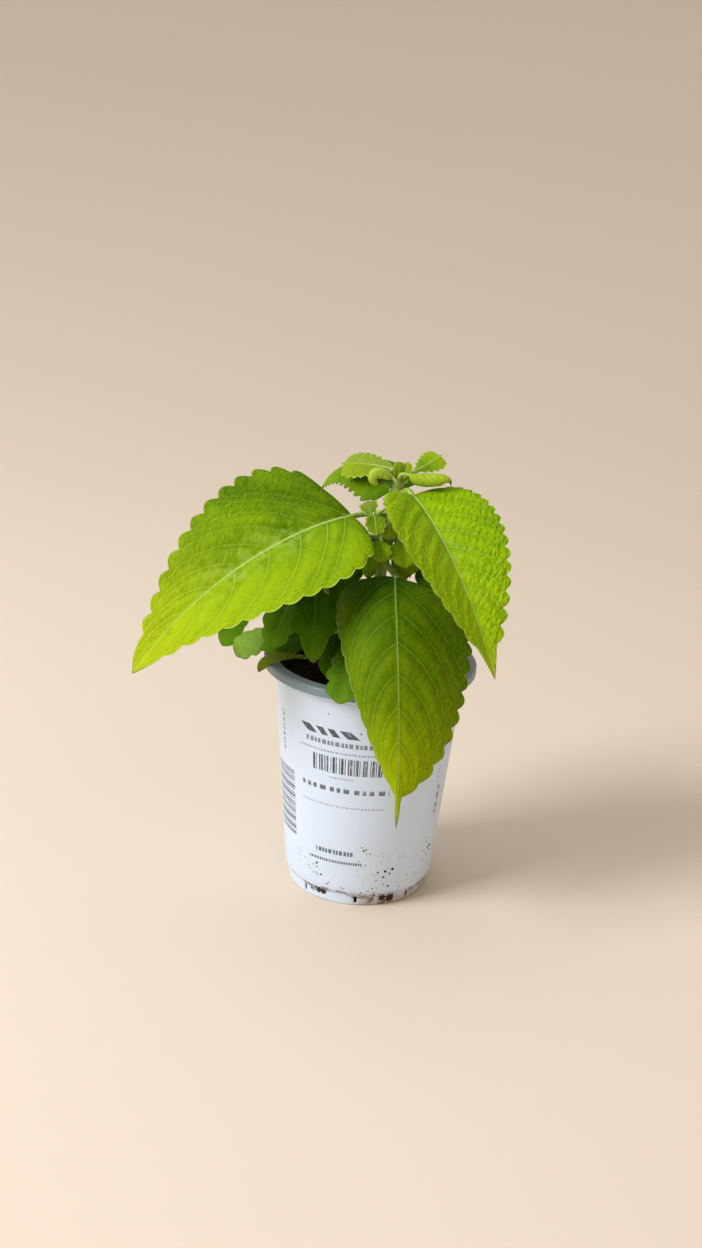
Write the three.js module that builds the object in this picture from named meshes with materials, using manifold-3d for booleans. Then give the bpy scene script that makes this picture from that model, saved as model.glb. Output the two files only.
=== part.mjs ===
// A young lime-green coleus in its round nursery pot. Millimetres, +Z up, -Y towards the front leaf,
// with the origin at the middle of the pot's foot, on the surface that the pot stands on.
import * as THREE from "three";
import { mergeVertices } from "three/addons/utils/BufferGeometryUtils.js";
import Module from "manifold-3d";

const wasm = await Module();
wasm.setup();

// Driving dimensions
const clearance = 0.3; // between any two pieces that would touch
const potHeight = 122.9;
const lipRadius = 54;
const lipDepth = 4.4;
const lipSkirt = 1.2; // wall of the turned-down edge of the lip
const lipRounding = 0.9; // at the lip's outer top edge
const wall = 1.2;
const rimRounding = 0.6; // at the inner top edge
const bodyTopRadius = 48.4;
const bodyFootRadius = 38.4;
const footRadius = 36.4;
const footHeight = 7.7; // the wall steps in below this height
const footTaper = 0.5;
const footBevel = 1; // at the edge that the pot stands on
const stepFall = 1; // how much lower the step's inner end is
const drainCount = 8;
const drainWidth = 1.5;
const drainHeight = 3.6;
const drainLift = 0.4; // of the slots over the pot's floor
const drainReach = 8; // length of the block that cuts a slot
const soilLevel = 108.6;
const soilBump = 1.3; // how far the soil's surface rises and falls
const soilEdgeDepth = 2.5; // height of the soil's upright edge
const soilRings = [1, 0.84, 0.66, 0.48, 0.3, 0.13]; // shares of its radius
const stemFoot = 94; // how deep the stem stands in the soil
const stemTop = 216;
const stemLeanOut = 8.8; // how far the stem's top leans to the right
const stemLeanPower = 2.2; // the stem leans mostly near its top
const stemBow = 1.5; // how far its middle bows to the front
const stemTipDepth = 1; // height of the cone on its top
const stemFootRadius = 3.3;
const stemTopRadius = 2.5;
const nodeSwelling = 0.5; // the stem is thicker where leaves grow
const nodeHeights = [124, 147, 175, 197, 208];
const nodeSpread = 2.6;
const stemSquareness = 0.07; // a coleus stem is four-angled
const bladeThickness = 0.8;
const roundSides = 38;
const stemSides = 10;
const tubeSides = 5;
const stalkSteps = 3;
const shootSteps = 5;
const stalkSunk = 2.2; // how far a stalk runs on under its blade
const ribSteps = 80; // steps that the midrib's curve is added up in
const sliver = 0.01; // edges shorter than this are closed up

const degrees = Math.PI / 180;

// --- solids and meshes

// A geometry as a solid for joining and cutting.
function solid(geometry) {
  geometry.deleteAttribute("normal");
  geometry.deleteAttribute("uv");
  const merged = mergeVertices(geometry, 1e-4);
  const vertProperties = merged.attributes.position.array;
  const triVerts = new Uint32Array(merged.index.array);
  return new wasm.Manifold(new wasm.Mesh({ numProp: 3, vertProperties, triVerts }));
}

// A named mesh of a solid, with its own material.
function mesh(name, shape, color, roughness) {
  const made = largest(shape.simplify(sliver)).getMesh();
  const geometry = new THREE.BufferGeometry();
  geometry.setAttribute("position", new THREE.BufferAttribute(made.vertProperties, 3));
  geometry.setIndex(new THREE.BufferAttribute(made.triVerts, 1));
  geometry.computeVertexNormals();
  const material = new THREE.MeshStandardMaterial({ color, roughness, metalness: 0 });
  const result = new THREE.Mesh(geometry, material);
  result.name = name;
  return result;
}

// A profile of [radius, height] pairs turned round the Z axis.
function turned(profile, sides) {
  const points = profile.map(([radius, height]) => new THREE.Vector2(radius, height));
  return new THREE.LatheGeometry(points, sides).rotateX(Math.PI / 2);
}

// A round tube along a curve.
function tube(curve, radius, steps) {
  const turns = Array.from({ length: tubeSides }, (_, side) => (side / tubeSides) * 2 * Math.PI);
  const corners = turns.map((turn) => new THREE.Vector2(radius * Math.cos(turn), radius * Math.sin(turn)));
  const options = { steps, extrudePath: curve, bevelEnabled: false };
  return solid(new THREE.ExtrudeGeometry(new THREE.Shape(corners), options));
}

// Joins several solids in one.
function joined(solids) {
  return solids.reduce((whole, piece) => whole.add(piece));
}

// The largest body of a solid, without the crumbs that a cut can leave.
function largest(shape) {
  const bodies = shape.decompose();
  return bodies.reduce((best, body) => (body.volume() > best.volume() ? body : best));
}

// --- pot

const bodyHeight = potHeight - lipDepth - footHeight;
const footTopRadius = footRadius + footTaper;

// The wall's outer radius at a height between the foot's step and the lip.
function bodyRadius(height) {
  return bodyFootRadius + ((bodyTopRadius - bodyFootRadius) * (height - footHeight)) / bodyHeight;
}

function makePot() {
  const rimInside = bodyRadius(potHeight) - wall;
  const flangeUnder = potHeight - wall;
  const outside = [
    [0, 0],
    [footRadius - footBevel, 0],
    [footRadius, footBevel],
    [footTopRadius, footHeight - stepFall],
    [bodyFootRadius, footHeight],
    [bodyRadius(potHeight - lipDepth), potHeight - lipDepth],
    [bodyRadius(flangeUnder), flangeUnder],
    [lipRadius - lipSkirt, flangeUnder],
    [lipRadius - lipSkirt, potHeight - lipDepth],
    [lipRadius, potHeight - lipDepth],
    [lipRadius, potHeight - lipRounding],
    [lipRadius - lipRounding, potHeight],
  ];
  const inside = [
    [rimInside + rimRounding, potHeight],
    [rimInside, potHeight - rimRounding],
    [bodyFootRadius - wall, footHeight],
    [footTopRadius - wall, footHeight - stepFall],
    [footRadius - wall, wall],
    [0, wall],
  ];
  let pot = solid(turned([...outside, ...inside], roundSides));
  for (let drain = 0; drain < drainCount; drain += 1) {
    const slot = new THREE.BoxGeometry(drainReach, drainWidth, drainHeight);
    slot.translate(footRadius, 0, wall + drainLift + drainHeight / 2);
    slot.rotateZ((drain / drainCount) * 2 * Math.PI);
    pot = pot.subtract(solid(slot));
  }
  return pot;
}

// --- soil

// The soil's loose surface, as a sum of a few waves.
function soilRise(x, y) {
  const broad = Math.sin(x * 0.13 + 1.1) * Math.cos(y * 0.11 - 0.4);
  const fine = Math.sin(x * 0.31 - y * 0.27) * Math.cos(x * 0.19 + y * 0.36);
  return soilBump * (0.6 * broad + 0.4 * fine);
}

function makeSoil() {
  const inset = wall + clearance;
  const edgeFoot = soilLevel - soilEdgeDepth;
  const profile = [
    [0, inset],
    [footRadius - inset, inset],
    [footTopRadius - inset, footHeight - stepFall],
    [bodyFootRadius - inset, footHeight + clearance],
    [bodyRadius(edgeFoot) - inset, edgeFoot],
    ...soilRings.map((share) => [(bodyRadius(soilLevel) - inset) * share, soilLevel]),
    [0, soilLevel],
  ];
  const geometry = turned(profile, roundSides);
  const position = geometry.attributes.position;
  for (let i = 0; i < position.count; i += 1) {
    if (position.getZ(i) > soilLevel - 1) {
      position.setZ(i, soilLevel + soilRise(position.getX(i), position.getY(i)));
    }
  }
  return solid(geometry).subtract(stemSolid(clearance, false));
}

// --- stem

// How far the stem's middle leans from the pot's axis at a height.
function stemLean(height) {
  const share = THREE.MathUtils.clamp((height - soilLevel) / (stemTop - soilLevel), 0, 1);
  const sideways = stemLeanOut * share ** stemLeanPower;
  return new THREE.Vector3(sideways, -stemBow * Math.sin(Math.PI * share), height);
}

function stemRadius(height) {
  const share = (height - stemFoot) / (stemTop - stemFoot);
  const plain = THREE.MathUtils.lerp(stemFootRadius, stemTopRadius, share);
  const swellings = nodeHeights.map((node) => Math.exp(-(((height - node) / nodeSpread) ** 2)));
  return plain + nodeSwelling * swellings.reduce((sum, one) => sum + one);
}

// The stem as a turned rod, squared a little and leaned. grown widens it, to cut clearances with.
function stemSolid(grown, topped) {
  const between = nodeHeights.flatMap((node) => [node - 2 * nodeSpread, node, node + 2 * nodeSpread]);
  const heights = [stemFoot - grown, soilLevel - soilEdgeDepth, ...between];
  const tip = stemTop + grown;
  const side = heights.map((height) => [stemRadius(height) + grown, height]);
  const profile = [[0, heights[0]], ...side, [stemTopRadius + grown, tip - stemTipDepth], [0, tip]];
  const geometry = turned(profile, stemSides);
  const position = geometry.attributes.position;
  for (let i = 0; i < position.count; i += 1) {
    const x = position.getX(i);
    const y = position.getY(i);
    const height = position.getZ(i);
    const square = 1 + stemSquareness * Math.cos(4 * Math.atan2(y, x));
    const lean = stemLean(height);
    position.setXYZ(i, x * square + lean.x, y * square + lean.y, height);
  }
  const rod = solid(geometry);
  return topped ? joined([rod, ...budLeaves.map((leaf) => bladeSolid(leaf))]) : rod;
}

// --- leaves

// A leaf blade is worked out from its midrib. heading and pitch are the rib's direction in degrees at
// the base and the tip, and ease says how early it turns. roll turns the blade about the rib. fold
// lifts each half at the rib and droop bends it down again towards the margin, left half first.
// rise and fall shape the outline's base and tip, share scales each half, lobe draws the margins
// back at the base, and drip is the part of the length taken by the narrow tip, which rounds off over
// tipSpan. toothSpread under 1 starts the teeth small and close together.
const plainLeaf = {
  heading: [0, 0],
  pitch: [0, 0],
  roll: [0, 0],
  ease: 1,
  fold: [15, 15],
  droop: [20, 20],
  rise: [0.45, 0.45],
  fall: [0.8, 0.8],
  share: [1, 1],
  lobe: [0, 0],
  drip: 0.06,
  tipSpan: 0.06,
  dripWidth: 0.12,
  teeth: 4,
  toothEnd: 0.94,
  toothSpread: 1,
  toothDepth: [1.1, 1.1],
  toothRows: [0, 0.55],
  columns: [0, 0.55, 1],
  stalk: 0.75,
};
const bigLeaf = {
  teeth: 13,
  toothDepth: [3.2, 3.2],
  toothRows: [0, 0.3, 0.7],
  columns: [0, 0.52, 1],
  stalk: 1.5,
};
const middleLeaf = { teeth: 9, toothDepth: [2.6, 2.6], stalk: 1.3 };
const toothStart = 0.03;
const toothLean = 1.35; // over 1 leans the teeth towards the tip
const toothBluntness = 0.7; // under 1 rounds their crests
const toothNotch = 0.6; // share of a tooth's depth that lies inside the smooth outline
const toothGrowth = 1.8; // how far a low toothSpread makes the first teeth smaller
const leastHalfWidth = 0.45;
const firstRow = 0.008; // a row close to the base, where the outline opens fast
const stalkLead = 0.4; // share of a stalk that runs straight into its blade
const stalkUnder = 0.3; // how far a stalk's middle lies under the blade's middle

function mix(pair, share) {
  return THREE.MathUtils.lerp(pair[0], pair[1], share);
}

// The rib's direction, the sideways direction and the normal at a place along the blade.
function leafFrame(leaf, along) {
  const eased = along ** leaf.ease;
  const heading = mix(leaf.heading, eased) * degrees;
  const pitch = mix(leaf.pitch, eased) * degrees;
  const roll = mix(leaf.roll, along) * degrees;
  const level = Math.cos(pitch);
  const forward = new THREE.Vector3(level * Math.cos(heading), level * Math.sin(heading), Math.sin(pitch));
  const flat = new THREE.Vector3(-Math.sin(heading), Math.cos(heading), 0);
  const above = new THREE.Vector3().crossVectors(forward, flat);
  const side = flat.clone().multiplyScalar(Math.cos(roll)).addScaledVector(above, Math.sin(roll));
  const normal = above.multiplyScalar(Math.cos(roll)).addScaledVector(flat, -Math.sin(roll));
  return { forward, side, normal };
}

// Points of the midrib, one more than ribSteps, added up step by step.
function leafRib(leaf) {
  const points = [new THREE.Vector3(...leaf.base)];
  let before = leafFrame(leaf, 0).forward;
  for (let step = 1; step <= ribSteps; step += 1) {
    const after = leafFrame(leaf, step / ribSteps).forward;
    const half = leaf.length / ribSteps / 2;
    const next = points[step - 1].clone().addScaledVector(before, half).addScaledVector(after, half);
    points.push(next);
    before = after;
  }
  return points;
}

function ribPoint(points, along) {
  const place = along * ribSteps;
  const index = Math.min(Math.floor(place), ribSteps - 1);
  return points[index].clone().lerp(points[index + 1], place - index);
}

// The smooth half-width: a power of the way from the base times a power of the way to the tip,
// scaled to 1 at its widest, blended by a cubic mean with the quarter-sine outline of the drip tip.
function halfWidth(leaf, along, half) {
  const rise = leaf.rise[half];
  const fall = leaf.fall[half];
  const widest = rise / (rise + fall);
  const way = Math.min(along / (1 - leaf.drip), 1);
  const blade = (way / widest) ** rise * ((1 - way) / (1 - widest)) ** fall;
  const toTip = Math.min((1 - along) / leaf.tipSpan, 1);
  const tip = leaf.dripWidth * Math.sin((Math.PI / 2) * toTip) * along ** 2;
  return leaf.halfWidth * leaf.share[half] * Math.cbrt(blade ** 3 + tip ** 3);
}

// A tooth's outline over its own length: sharp in the notch, round on the crest, leaning forward.
function toothRise(phase) {
  return Math.sin(Math.PI * (phase - Math.floor(phase)) ** toothLean) ** toothBluntness;
}

// How far the margin stands out of the smooth outline.
function toothOffset(leaf, along, width, half) {
  const depth = leaf.toothDepth[half];
  const way = Math.max(0, (along - toothStart) / (leaf.toothEnd - toothStart));
  const phase = leaf.teeth * way ** leaf.toothSpread;
  const inside = phase > 0 && phase < leaf.teeth;
  const growth = 1 - toothGrowth * (1 - leaf.toothSpread) * (1 - Math.min(way, 1));
  const size = depth * growth * Math.min(1, width / (3 * depth));
  const rise = inside ? toothRise(phase) : 0;
  const start = inside ? 1 : Math.min(1, along / toothStart);
  return size * (rise - toothNotch * start);
}

// A point of the blade's middle surface. half is 0 on the left of the rib and 1 on its right.
function leafPoint(leaf, points, along, half, across) {
  const { forward, side, normal } = leafFrame(leaf, along);
  const smooth = Math.max(halfWidth(leaf, along, half), leastHalfWidth);
  const toothed = Math.max(smooth + toothOffset(leaf, along, smooth, half), leastHalfWidth);
  const reach = across * (1 + (toothed / smooth - 1) * across ** 2);
  const fold = leaf.fold[half] * degrees;
  const droop = Math.max(leaf.droop[half], 0.01) * degrees;
  const outward = (smooth * (Math.sin(fold) - Math.sin(fold - droop * reach))) / droop;
  const lift = (smooth * (Math.cos(fold - droop * reach) - Math.cos(fold))) / droop;
  const back = -leaf.lobe[half] * (1 - along) ** 3 * across ** 2;
  return ribPoint(points, along)
    .addScaledVector(side, half === 0 ? outward : -outward)
    .addScaledVector(normal, lift)
    .addScaledVector(forward, back);
}

// Places of the rows: three at the base, then each tooth's own rows, then the tip.
function leafRows(leaf) {
  const rows = [0, firstRow, toothStart];
  for (let tooth = 0; tooth < leaf.teeth; tooth += 1) {
    for (const place of leaf.toothRows) {
      const way = ((tooth + place) / leaf.teeth) ** (1 / leaf.toothSpread);
      const along = toothStart + way * (leaf.toothEnd - toothStart);
      if (along > toothStart) {
        rows.push(along);
      }
    }
  }
  return [...rows, leaf.toothEnd, 1];
}

// The blade as a closed thin body: a grid of points over and under its middle surface.
function bladeSolid(given) {
  const leaf = { ...plainLeaf, ...given };
  const points = leafRib(leaf);
  const rows = leafRows(leaf);
  const across = leaf.columns;
  const places = [...across.slice(1).reverse().map((v) => [0, v]), ...across.map((v) => [1, v])];
  const middle = rows.map((along) => places.map(([half, v]) => leafPoint(leaf, points, along, half, v)));
  const columns = places.length;
  const normals = middle.map((row, i) => row.map((point, j) => gridNormal(middle, i, j)));
  const vertices = [];
  for (const sign of [1, -1]) {
    middle.forEach((row, i) =>
      row.forEach((point, j) => {
        const moved = point.clone().addScaledVector(normals[i][j], (sign * bladeThickness) / 2);
        vertices.push(moved.x, moved.y, moved.z);
      }),
    );
  }
  const under = rows.length * columns;
  const index = [];
  const face = (a, b, c) => index.push(a, c, b);
  for (let i = 0; i < rows.length - 1; i += 1) {
    for (let j = 0; j < columns - 1; j += 1) {
      const a = i * columns + j;
      const b = a + 1;
      const c = a + columns;
      const d = c + 1;
      face(a, c, b);
      face(b, c, d);
      face(under + a, under + b, under + c);
      face(under + b, under + d, under + c);
    }
    for (const [j, turn] of [[0, false], [columns - 1, true]]) {
      const a = i * columns + j;
      const c = a + columns;
      const [p, q] = turn ? [c, a] : [a, c];
      face(p, under + p, q);
      face(q, under + p, under + q);
    }
  }
  for (const [i, turn] of [[0, true], [rows.length - 1, false]]) {
    for (let j = 0; j < columns - 1; j += 1) {
      const a = i * columns + j;
      const [p, q] = turn ? [a + 1, a] : [a, a + 1];
      face(p, under + p, q);
      face(q, under + p, under + q);
    }
  }
  const geometry = new THREE.BufferGeometry();
  geometry.setAttribute("position", new THREE.Float32BufferAttribute(vertices, 3));
  geometry.setIndex(index);
  return solid(geometry);
}

// The grid's normal at a point, from its neighbours along and across.
function gridNormal(grid, i, j) {
  const last = grid.length - 1;
  const edge = grid[0].length - 1;
  const along = grid[Math.min(i + 1, last)][j].clone().sub(grid[Math.max(i - 1, 0)][j]);
  const across = grid[i][Math.max(j - 1, 0)].clone().sub(grid[i][Math.min(j + 1, edge)]);
  return along.cross(across).normalize();
}

// A leaf's stalk, from where it grows to a little way under the blade's rib.
function stalkSolid(given, from) {
  const leaf = { ...plainLeaf, ...given };
  const points = leafRib(leaf);
  const base = points[0];
  const { forward, normal } = leafFrame(leaf, 0);
  const lead = base.clone().addScaledVector(forward, -stalkLead * from.distanceTo(base));
  const joint = base.clone().addScaledVector(normal, -stalkUnder);
  const sunk = ribPoint(points, stalkSunk / leaf.length).addScaledVector(normal, -stalkUnder);
  return tube(new THREE.CatmullRomCurve3([from, lead, joint, sunk]), leaf.stalk, stalkSteps);
}

// A leaf that grows straight from the main stem at the height of its node.
function stemLeaf(leaf) {
  const whole = joined([bladeSolid(leaf), stalkSolid(leaf, stemLean(leaf.node))]);
  return largest(whole.subtract(stemSolid(clearance, true)));
}

// A side shoot: a thin stem through the given points, with leaves that grow from it.
function shoot({ route, radius, leaves }) {
  const curve = new THREE.CatmullRomCurve3(route.map((point) => new THREE.Vector3(...point)));
  const pieces = leaves.flatMap((leaf) => [bladeSolid(leaf), stalkSolid(leaf, curve.getPoint(leaf.place))]);
  const whole = joined([tube(curve, radius, shootSteps), ...pieces]);
  return largest(whole.subtract(stemSolid(clearance, true)));
}

// The two small upright leaves at the growing tip, side by side.
const budLeaf = {
  length: 11,
  halfWidth: 3,
  fold: [14, 14],
  droop: [20, 20],
  rise: [0.3, 0.3],
  fall: [0.2, 0.2],
  teeth: 2,
  toothDepth: [0.5, 0.5],
};
const budLeaves = [
  { ...budLeaf, base: [8.4, -1.6, 214.2], heading: [120, 100], pitch: [74, 88] },
  { ...budLeaf, base: [10.6, -1.6, 214.2], heading: [50, 70], pitch: [62, 84] },
];

const stemLeaves = {
  leaf_left: {
    ...bigLeaf,
    node: 199,
    base: [-13.3, -4.6, 197.2],
    length: 137.3,
    halfWidth: 39.4,
    heading: [221.1, 196.2],
    pitch: [0.2, -56.5],
    roll: [-28, -33],
    ease: 0.79,
    fold: [15.7, 15.7],
    droop: [11.7, 11.7],
    rise: [0.4, 0.42],
    fall: [1.02, 1.12],
    drip: 0.02,
    lobe: [0.4, -5],
    teeth: 12,
    toothEnd: 0.87,
    toothDepth: [2.2, 3.5],
    dripWidth: 0.28,
    tipSpan: 0.12,
    share: [1, 1.02],
  },
  leaf_right: {
    ...bigLeaf,
    node: 208,
    base: [15.5, -7.6, 210.1],
    length: 105.4,
    halfWidth: 31.3,
    heading: [-58.8, -57.8],
    pitch: [-16, -55],
    ease: 0.64,
    fold: [19.4, 19.4],
    droop: [2.3, 2.3],
    rise: [0.42, 0.42],
    fall: [1.15, 1.08],
    drip: 0.02,
    teeth: 15,
    toothEnd: 0.85,
    toothDepth: [3.6, 2],
    dripWidth: 0.14,
    toothSpread: 0.7,
    tipSpan: 0.12,
  },
  leaf_front: {
    ...bigLeaf,
    node: 175,
    base: [9.5, -24.7, 173.3],
    length: 128.6,
    halfWidth: 35.9,
    heading: [-94, -75.5],
    pitch: [16, -88],
    roll: [-9, 7],
    ease: 0.363,
    fold: [0.7, 0.7],
    droop: [28, 65],
    rise: [0.22, 0.2],
    fall: [0.55, 0.79],
    share: [1.1, 0.87],
    lobe: [9.3, 9.3],
    toothEnd: 0.9,
    toothDepth: [3.4, 1.3],
    drip: 0.12,
    dripWidth: 0.06,
    tipSpan: 0.12,
  },
  leaf_back_left: {
    ...middleLeaf,
    node: 207,
    base: [5.2, 4.5, 208.8],
    length: 62,
    halfWidth: 24,
    ease: 1.5,
    heading: [124, 152],
    pitch: [26, -72],
    fold: [-30, 5],
    droop: [15, 15],
    rise: [0.16, 0.35],
    fall: [0.45, 0.8],
    share: [0.64, 1],
  },
  leaf_back_right: {
    ...middleLeaf,
    node: 197,
    base: [12, 5, 198],
    length: 60,
    halfWidth: 21,
    heading: [28, 36],
    pitch: [-8, -60],
    fold: [12, 12],
    droop: [15, 15],
    rise: [0.4, 0.4],
    fall: [1, 1],
    teeth: 8,
    toothDepth: [2.2, 2.2],
    ease: 0.8,
  },
  leaf_back: {
    ...middleLeaf,
    node: 176,
    base: [2, 12, 180],
    length: 82,
    halfWidth: 25,
    heading: [102, 116],
    pitch: [5, -65],
    fold: [12, 12],
    rise: [0.4, 0.4],
    fall: [0.9, 0.9],
    ease: 0.8,
  },
  young_leaf_back_left: {
    node: 211,
    base: [5.3, 5.5, 219.4],
    length: 30,
    halfWidth: 9,
    heading: [150, 150],
    pitch: [3, -12],
    fold: [-35, 32],
    droop: [10, 10],
    rise: [0.8, 0.8],
    fall: [0.26, 0.26],
    teeth: 7,
    toothDepth: [1.4, 1.4],
    stalk: 1,
  },
  young_leaf_back_right: {
    node: 209.8,
    base: [15.2, 4.5, 219],
    length: 20,
    halfWidth: 6.6,
    heading: [44, 44],
    pitch: [12, 24],
    fold: [28, -25],
    droop: [10, 10],
    rise: [1, 1],
    fall: [0.28, 0.28],
    teeth: 6,
    toothDepth: [1.2, 1.2],
    stalk: 1,
  },
  curled_leaf_left: {
    node: 211,
    base: [5.6, -4.6, 217.6],
    length: 23.5,
    halfWidth: 4.6,
    heading: [188, 188],
    pitch: [50, -235],
    roll: [-30, -40],
    ease: 1.6,
    fold: [0, 0],
    droop: [80, 80],
    rise: [0.3, 0.3],
    fall: [0.4, 0.4],
    teeth: 5,
    toothDepth: [0.5, 0.5],
    stalk: 1,
  },
  curled_leaf_right: {
    node: 211,
    base: [13.6, -4.4, 219.6],
    length: 23.5,
    halfWidth: 9,
    heading: [-14, -14],
    pitch: [8, -125],
    ease: 6,
    fold: [10, 10],
    droop: [170, 170],
    rise: [0.3, 0.3],
    fall: [0.4, 0.4],
    teeth: 5,
    toothDepth: [0.6, 0.6],
    columns: [0, 0.33, 0.67, 1],
    stalk: 1,
  },
};

// Leaves of the side shoots. place is how far along its shoot a leaf grows.
const tinyLeaf = { teeth: 3, toothDepth: [0.8, 0.8], columns: [0, 1], stalk: 0.6 };
const lowLeaf = { drip: 0.01, tipSpan: 0.01, teeth: 3, toothDepth: [1.8, 1.8], stalk: 0.9 };

const shoots = {
  side_shoot_left: {
    radius: 1.1,
    route: [[4, 0, 190], [0, -5, 196], [-2, -10, 199.5]],
    leaves: [
      {
        ...tinyLeaf,
        place: 1,
        base: [-4, -9.5, 199.6],
        length: 7,
        halfWidth: 4.8,
        heading: [170, 170],
        pitch: [75, 65],
        fold: [10, 10],
        rise: [0.7, 0.7],
        roll: [-95, -95],
        fall: [0.2, 0.2],
      },
      {
        ...tinyLeaf,
        place: 0.95,
        base: [-2.6, -12.15, 200.3],
        length: 11.2,
        halfWidth: 5,
        heading: [-77, -77],
        pitch: [-40, -60],
        fall: [0.5, 0.5],
      },
      {
        ...tinyLeaf,
        place: 0.8,
        base: [3.4, -5.5, 199.8],
        length: 13,
        halfWidth: 8,
        heading: [-69, -69],
        pitch: [-53, -73],
        fall: [0.6, 0.6],
      },
    ],
  },
  side_shoot_front: {
    radius: 1.1,
    route: [[4, 0, 177], [3, -5, 183], [3, -9, 188]],
    leaves: [
      {
        ...tinyLeaf,
        place: 0.7,
        base: [-2.7, -8, 182.2],
        length: 15.9,
        halfWidth: 5,
        heading: [-99, -99],
        pitch: [-57, -77],
        fall: [0.7, 0.7],
      },
      {
        ...tinyLeaf,
        place: 1,
        base: [1.6, -14.3, 187.6],
        length: 11,
        halfWidth: 5,
        heading: [-83, -83],
        pitch: [-48, -68],
        fall: [0.5, 0.5],
      },
      {
        ...tinyLeaf,
        place: 0.9,
        base: [10.5, -9, 186.1],
        length: 14,
        halfWidth: 8.5,
        heading: [-60, -60],
        pitch: [-42, -62],
        fall: [0.6, 0.6],
      },
    ],
  },
  side_shoot_right: {
    radius: 1.1,
    route: [[5, 0, 184], [10, 3, 189], [15, 5, 193]],
    leaves: [
      {
        ...tinyLeaf,
        place: 1,
        base: [17.5, 3.5, 192],
        length: 27,
        halfWidth: 8,
        heading: [-95, -90],
        pitch: [-45, -80],
        rise: [0.4, 0.4],
        fall: [0.6, 0.6],
      },
      {
        ...tinyLeaf,
        place: 0.6,
        base: [12.5, 6, 186],
        length: 27,
        halfWidth: 8,
        heading: [-100, -95],
        pitch: [-50, -85],
        rise: [0.4, 0.4],
        fall: [0.6, 0.6],
      },
    ],
  },
  low_shoot_left: {
    radius: 1.3,
    route: [[0, 0, 126], [-12, 4, 132], [-26, 8, 141], [-34, 9, 152]],
    leaves: [
      {
        ...lowLeaf,
        place: 0.95,
        base: [-63.4, 14.5, 139.6],
        length: 26,
        halfWidth: 6.5,
        heading: [176, 176],
        pitch: [-48, -68],
        roll: [-50, -70],
        fall: [0.45, 0.45],
        toothDepth: [0.8, 0.8],
      },
      {
        ...lowLeaf,
        place: 0.6,
        base: [-40.5, 4, 130],
        length: 30.7,
        halfWidth: 12.5,
        heading: [196, 196],
        pitch: [-8, -28],
        roll: [-10, -15],
        rise: [0.4, 0.4],
        fall: [0.22, 0.22],
        teeth: 5,
        share: [0.65, 1],
        toothDepth: [2, 2],
      },
      {
        ...lowLeaf,
        place: 1,
        base: [-40.8, -6, 152.3],
        length: 26.6,
        halfWidth: 9.5,
        heading: [223, 223],
        pitch: [-51, -76],
        roll: [-15, -20],
        fall: [0.6, 0.6],
      },
    ],
  },
  low_shoot_front_left: {
    radius: 1.4,
    route: [[0, -1, 130], [-8, -7, 141], [-17, -12, 152], [-24, -14, 162]],
    leaves: [
      {
        ...lowLeaf,
        place: 1,
        base: [-28.6, -18, 162.6],
        length: 38.5,
        halfWidth: 10,
        heading: [-87, -87],
        pitch: [-32, -72],
        rise: [0.5, 0.5],
        fall: [0.6, 0.6],
        toothDepth: [4.4, 4.4],
        teeth: 2,
        toothEnd: 0.66,
      },
      {
        ...lowLeaf,
        place: 0.35,
        base: [-26, -4, 134],
        length: 31,
        halfWidth: 9,
        heading: [188, 188],
        pitch: [-8, -22],
        roll: [-30, -30],
        fall: [0.6, 0.6],
      },
      {
        ...lowLeaf,
        place: 0.2,
        base: [-31.2, -20, 128.2],
        length: 28,
        halfWidth: 3.8,
        heading: [178, 190],
        pitch: [-3, -85],
        roll: [18, -50],
        ease: 3,
        fold: [5, 5],
        droop: [10, 10],
        rise: [0.3, 0.3],
        fall: [0.4, 0.4],
        toothDepth: [0.5, 0.5],
      },
      {
        ...lowLeaf,
        place: 0.6,
        base: [-14.5, -3.5, 176],
        length: 34,
        halfWidth: 10.5,
        heading: [-108, -100],
        pitch: [-42, -84],
        rise: [0.45, 0.45],
        fall: [0.9, 0.9],
      },
    ],
  },
  low_shoot_front: {
    radius: 1.2,
    route: [[1, -1, 124], [-3, -12, 131], [-9, -22, 138]],
    leaves: [
      {
        ...lowLeaf,
        place: 1,
        base: [-9, -30.5, 139.8],
        length: 36,
        halfWidth: 8,
        heading: [-98, -98],
        pitch: [-8, -63],
        rise: [0.5, 0.5],
        fall: [0.3, 0.3],
        teeth: 4,
        toothDepth: [2.6, 2.6],
      },
      {
        ...lowLeaf,
        place: 0.8,
        base: [-11, -18, 140],
        length: 27,
        halfWidth: 8.5,
        heading: [-120, -112],
        pitch: [-20, -60],
        roll: [-10, -20],
        fall: [0.6, 0.6],
      },
    ],
  },
  low_shoot_right: {
    radius: 1.4,
    route: [[1, 0, 128], [12, 3, 138], [22, 4, 152], [27, 3, 170]],
    leaves: [
      {
        ...lowLeaf,
        place: 1,
        base: [31.5, 2, 178],
        length: 31,
        halfWidth: 10,
        heading: [-100, -100],
        pitch: [-28, -58],
      },
      {
        ...lowLeaf,
        place: 0.8,
        base: [36, 8, 158],
        length: 28,
        halfWidth: 10,
        heading: [-5, -5],
        pitch: [0, -55],
      },
      {
        ...lowLeaf,
        place: 0.7,
        base: [26, 13, 152],
        length: 34,
        halfWidth: 12,
        heading: [62, 62],
        pitch: [0, -50],
      },
      {
        ...lowLeaf,
        place: 0.4,
        base: [24, -4, 140],
        length: 24,
        halfWidth: 9,
        heading: [-35, -35],
        pitch: [0, -50],
      },
    ],
  },
  low_shoot_back: {
    radius: 1.3,
    route: [[0, 1, 124], [2, 12, 134], [4, 24, 147]],
    leaves: [
      {
        ...lowLeaf,
        place: 1,
        base: [4, 30, 150],
        length: 40,
        halfWidth: 14,
        heading: [82, 82],
        pitch: [0, -55],
        teeth: 4,
      },
      {
        ...lowLeaf,
        place: 0.7,
        base: [-6, 24, 140],
        length: 34,
        halfWidth: 11,
        heading: [140, 140],
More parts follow.
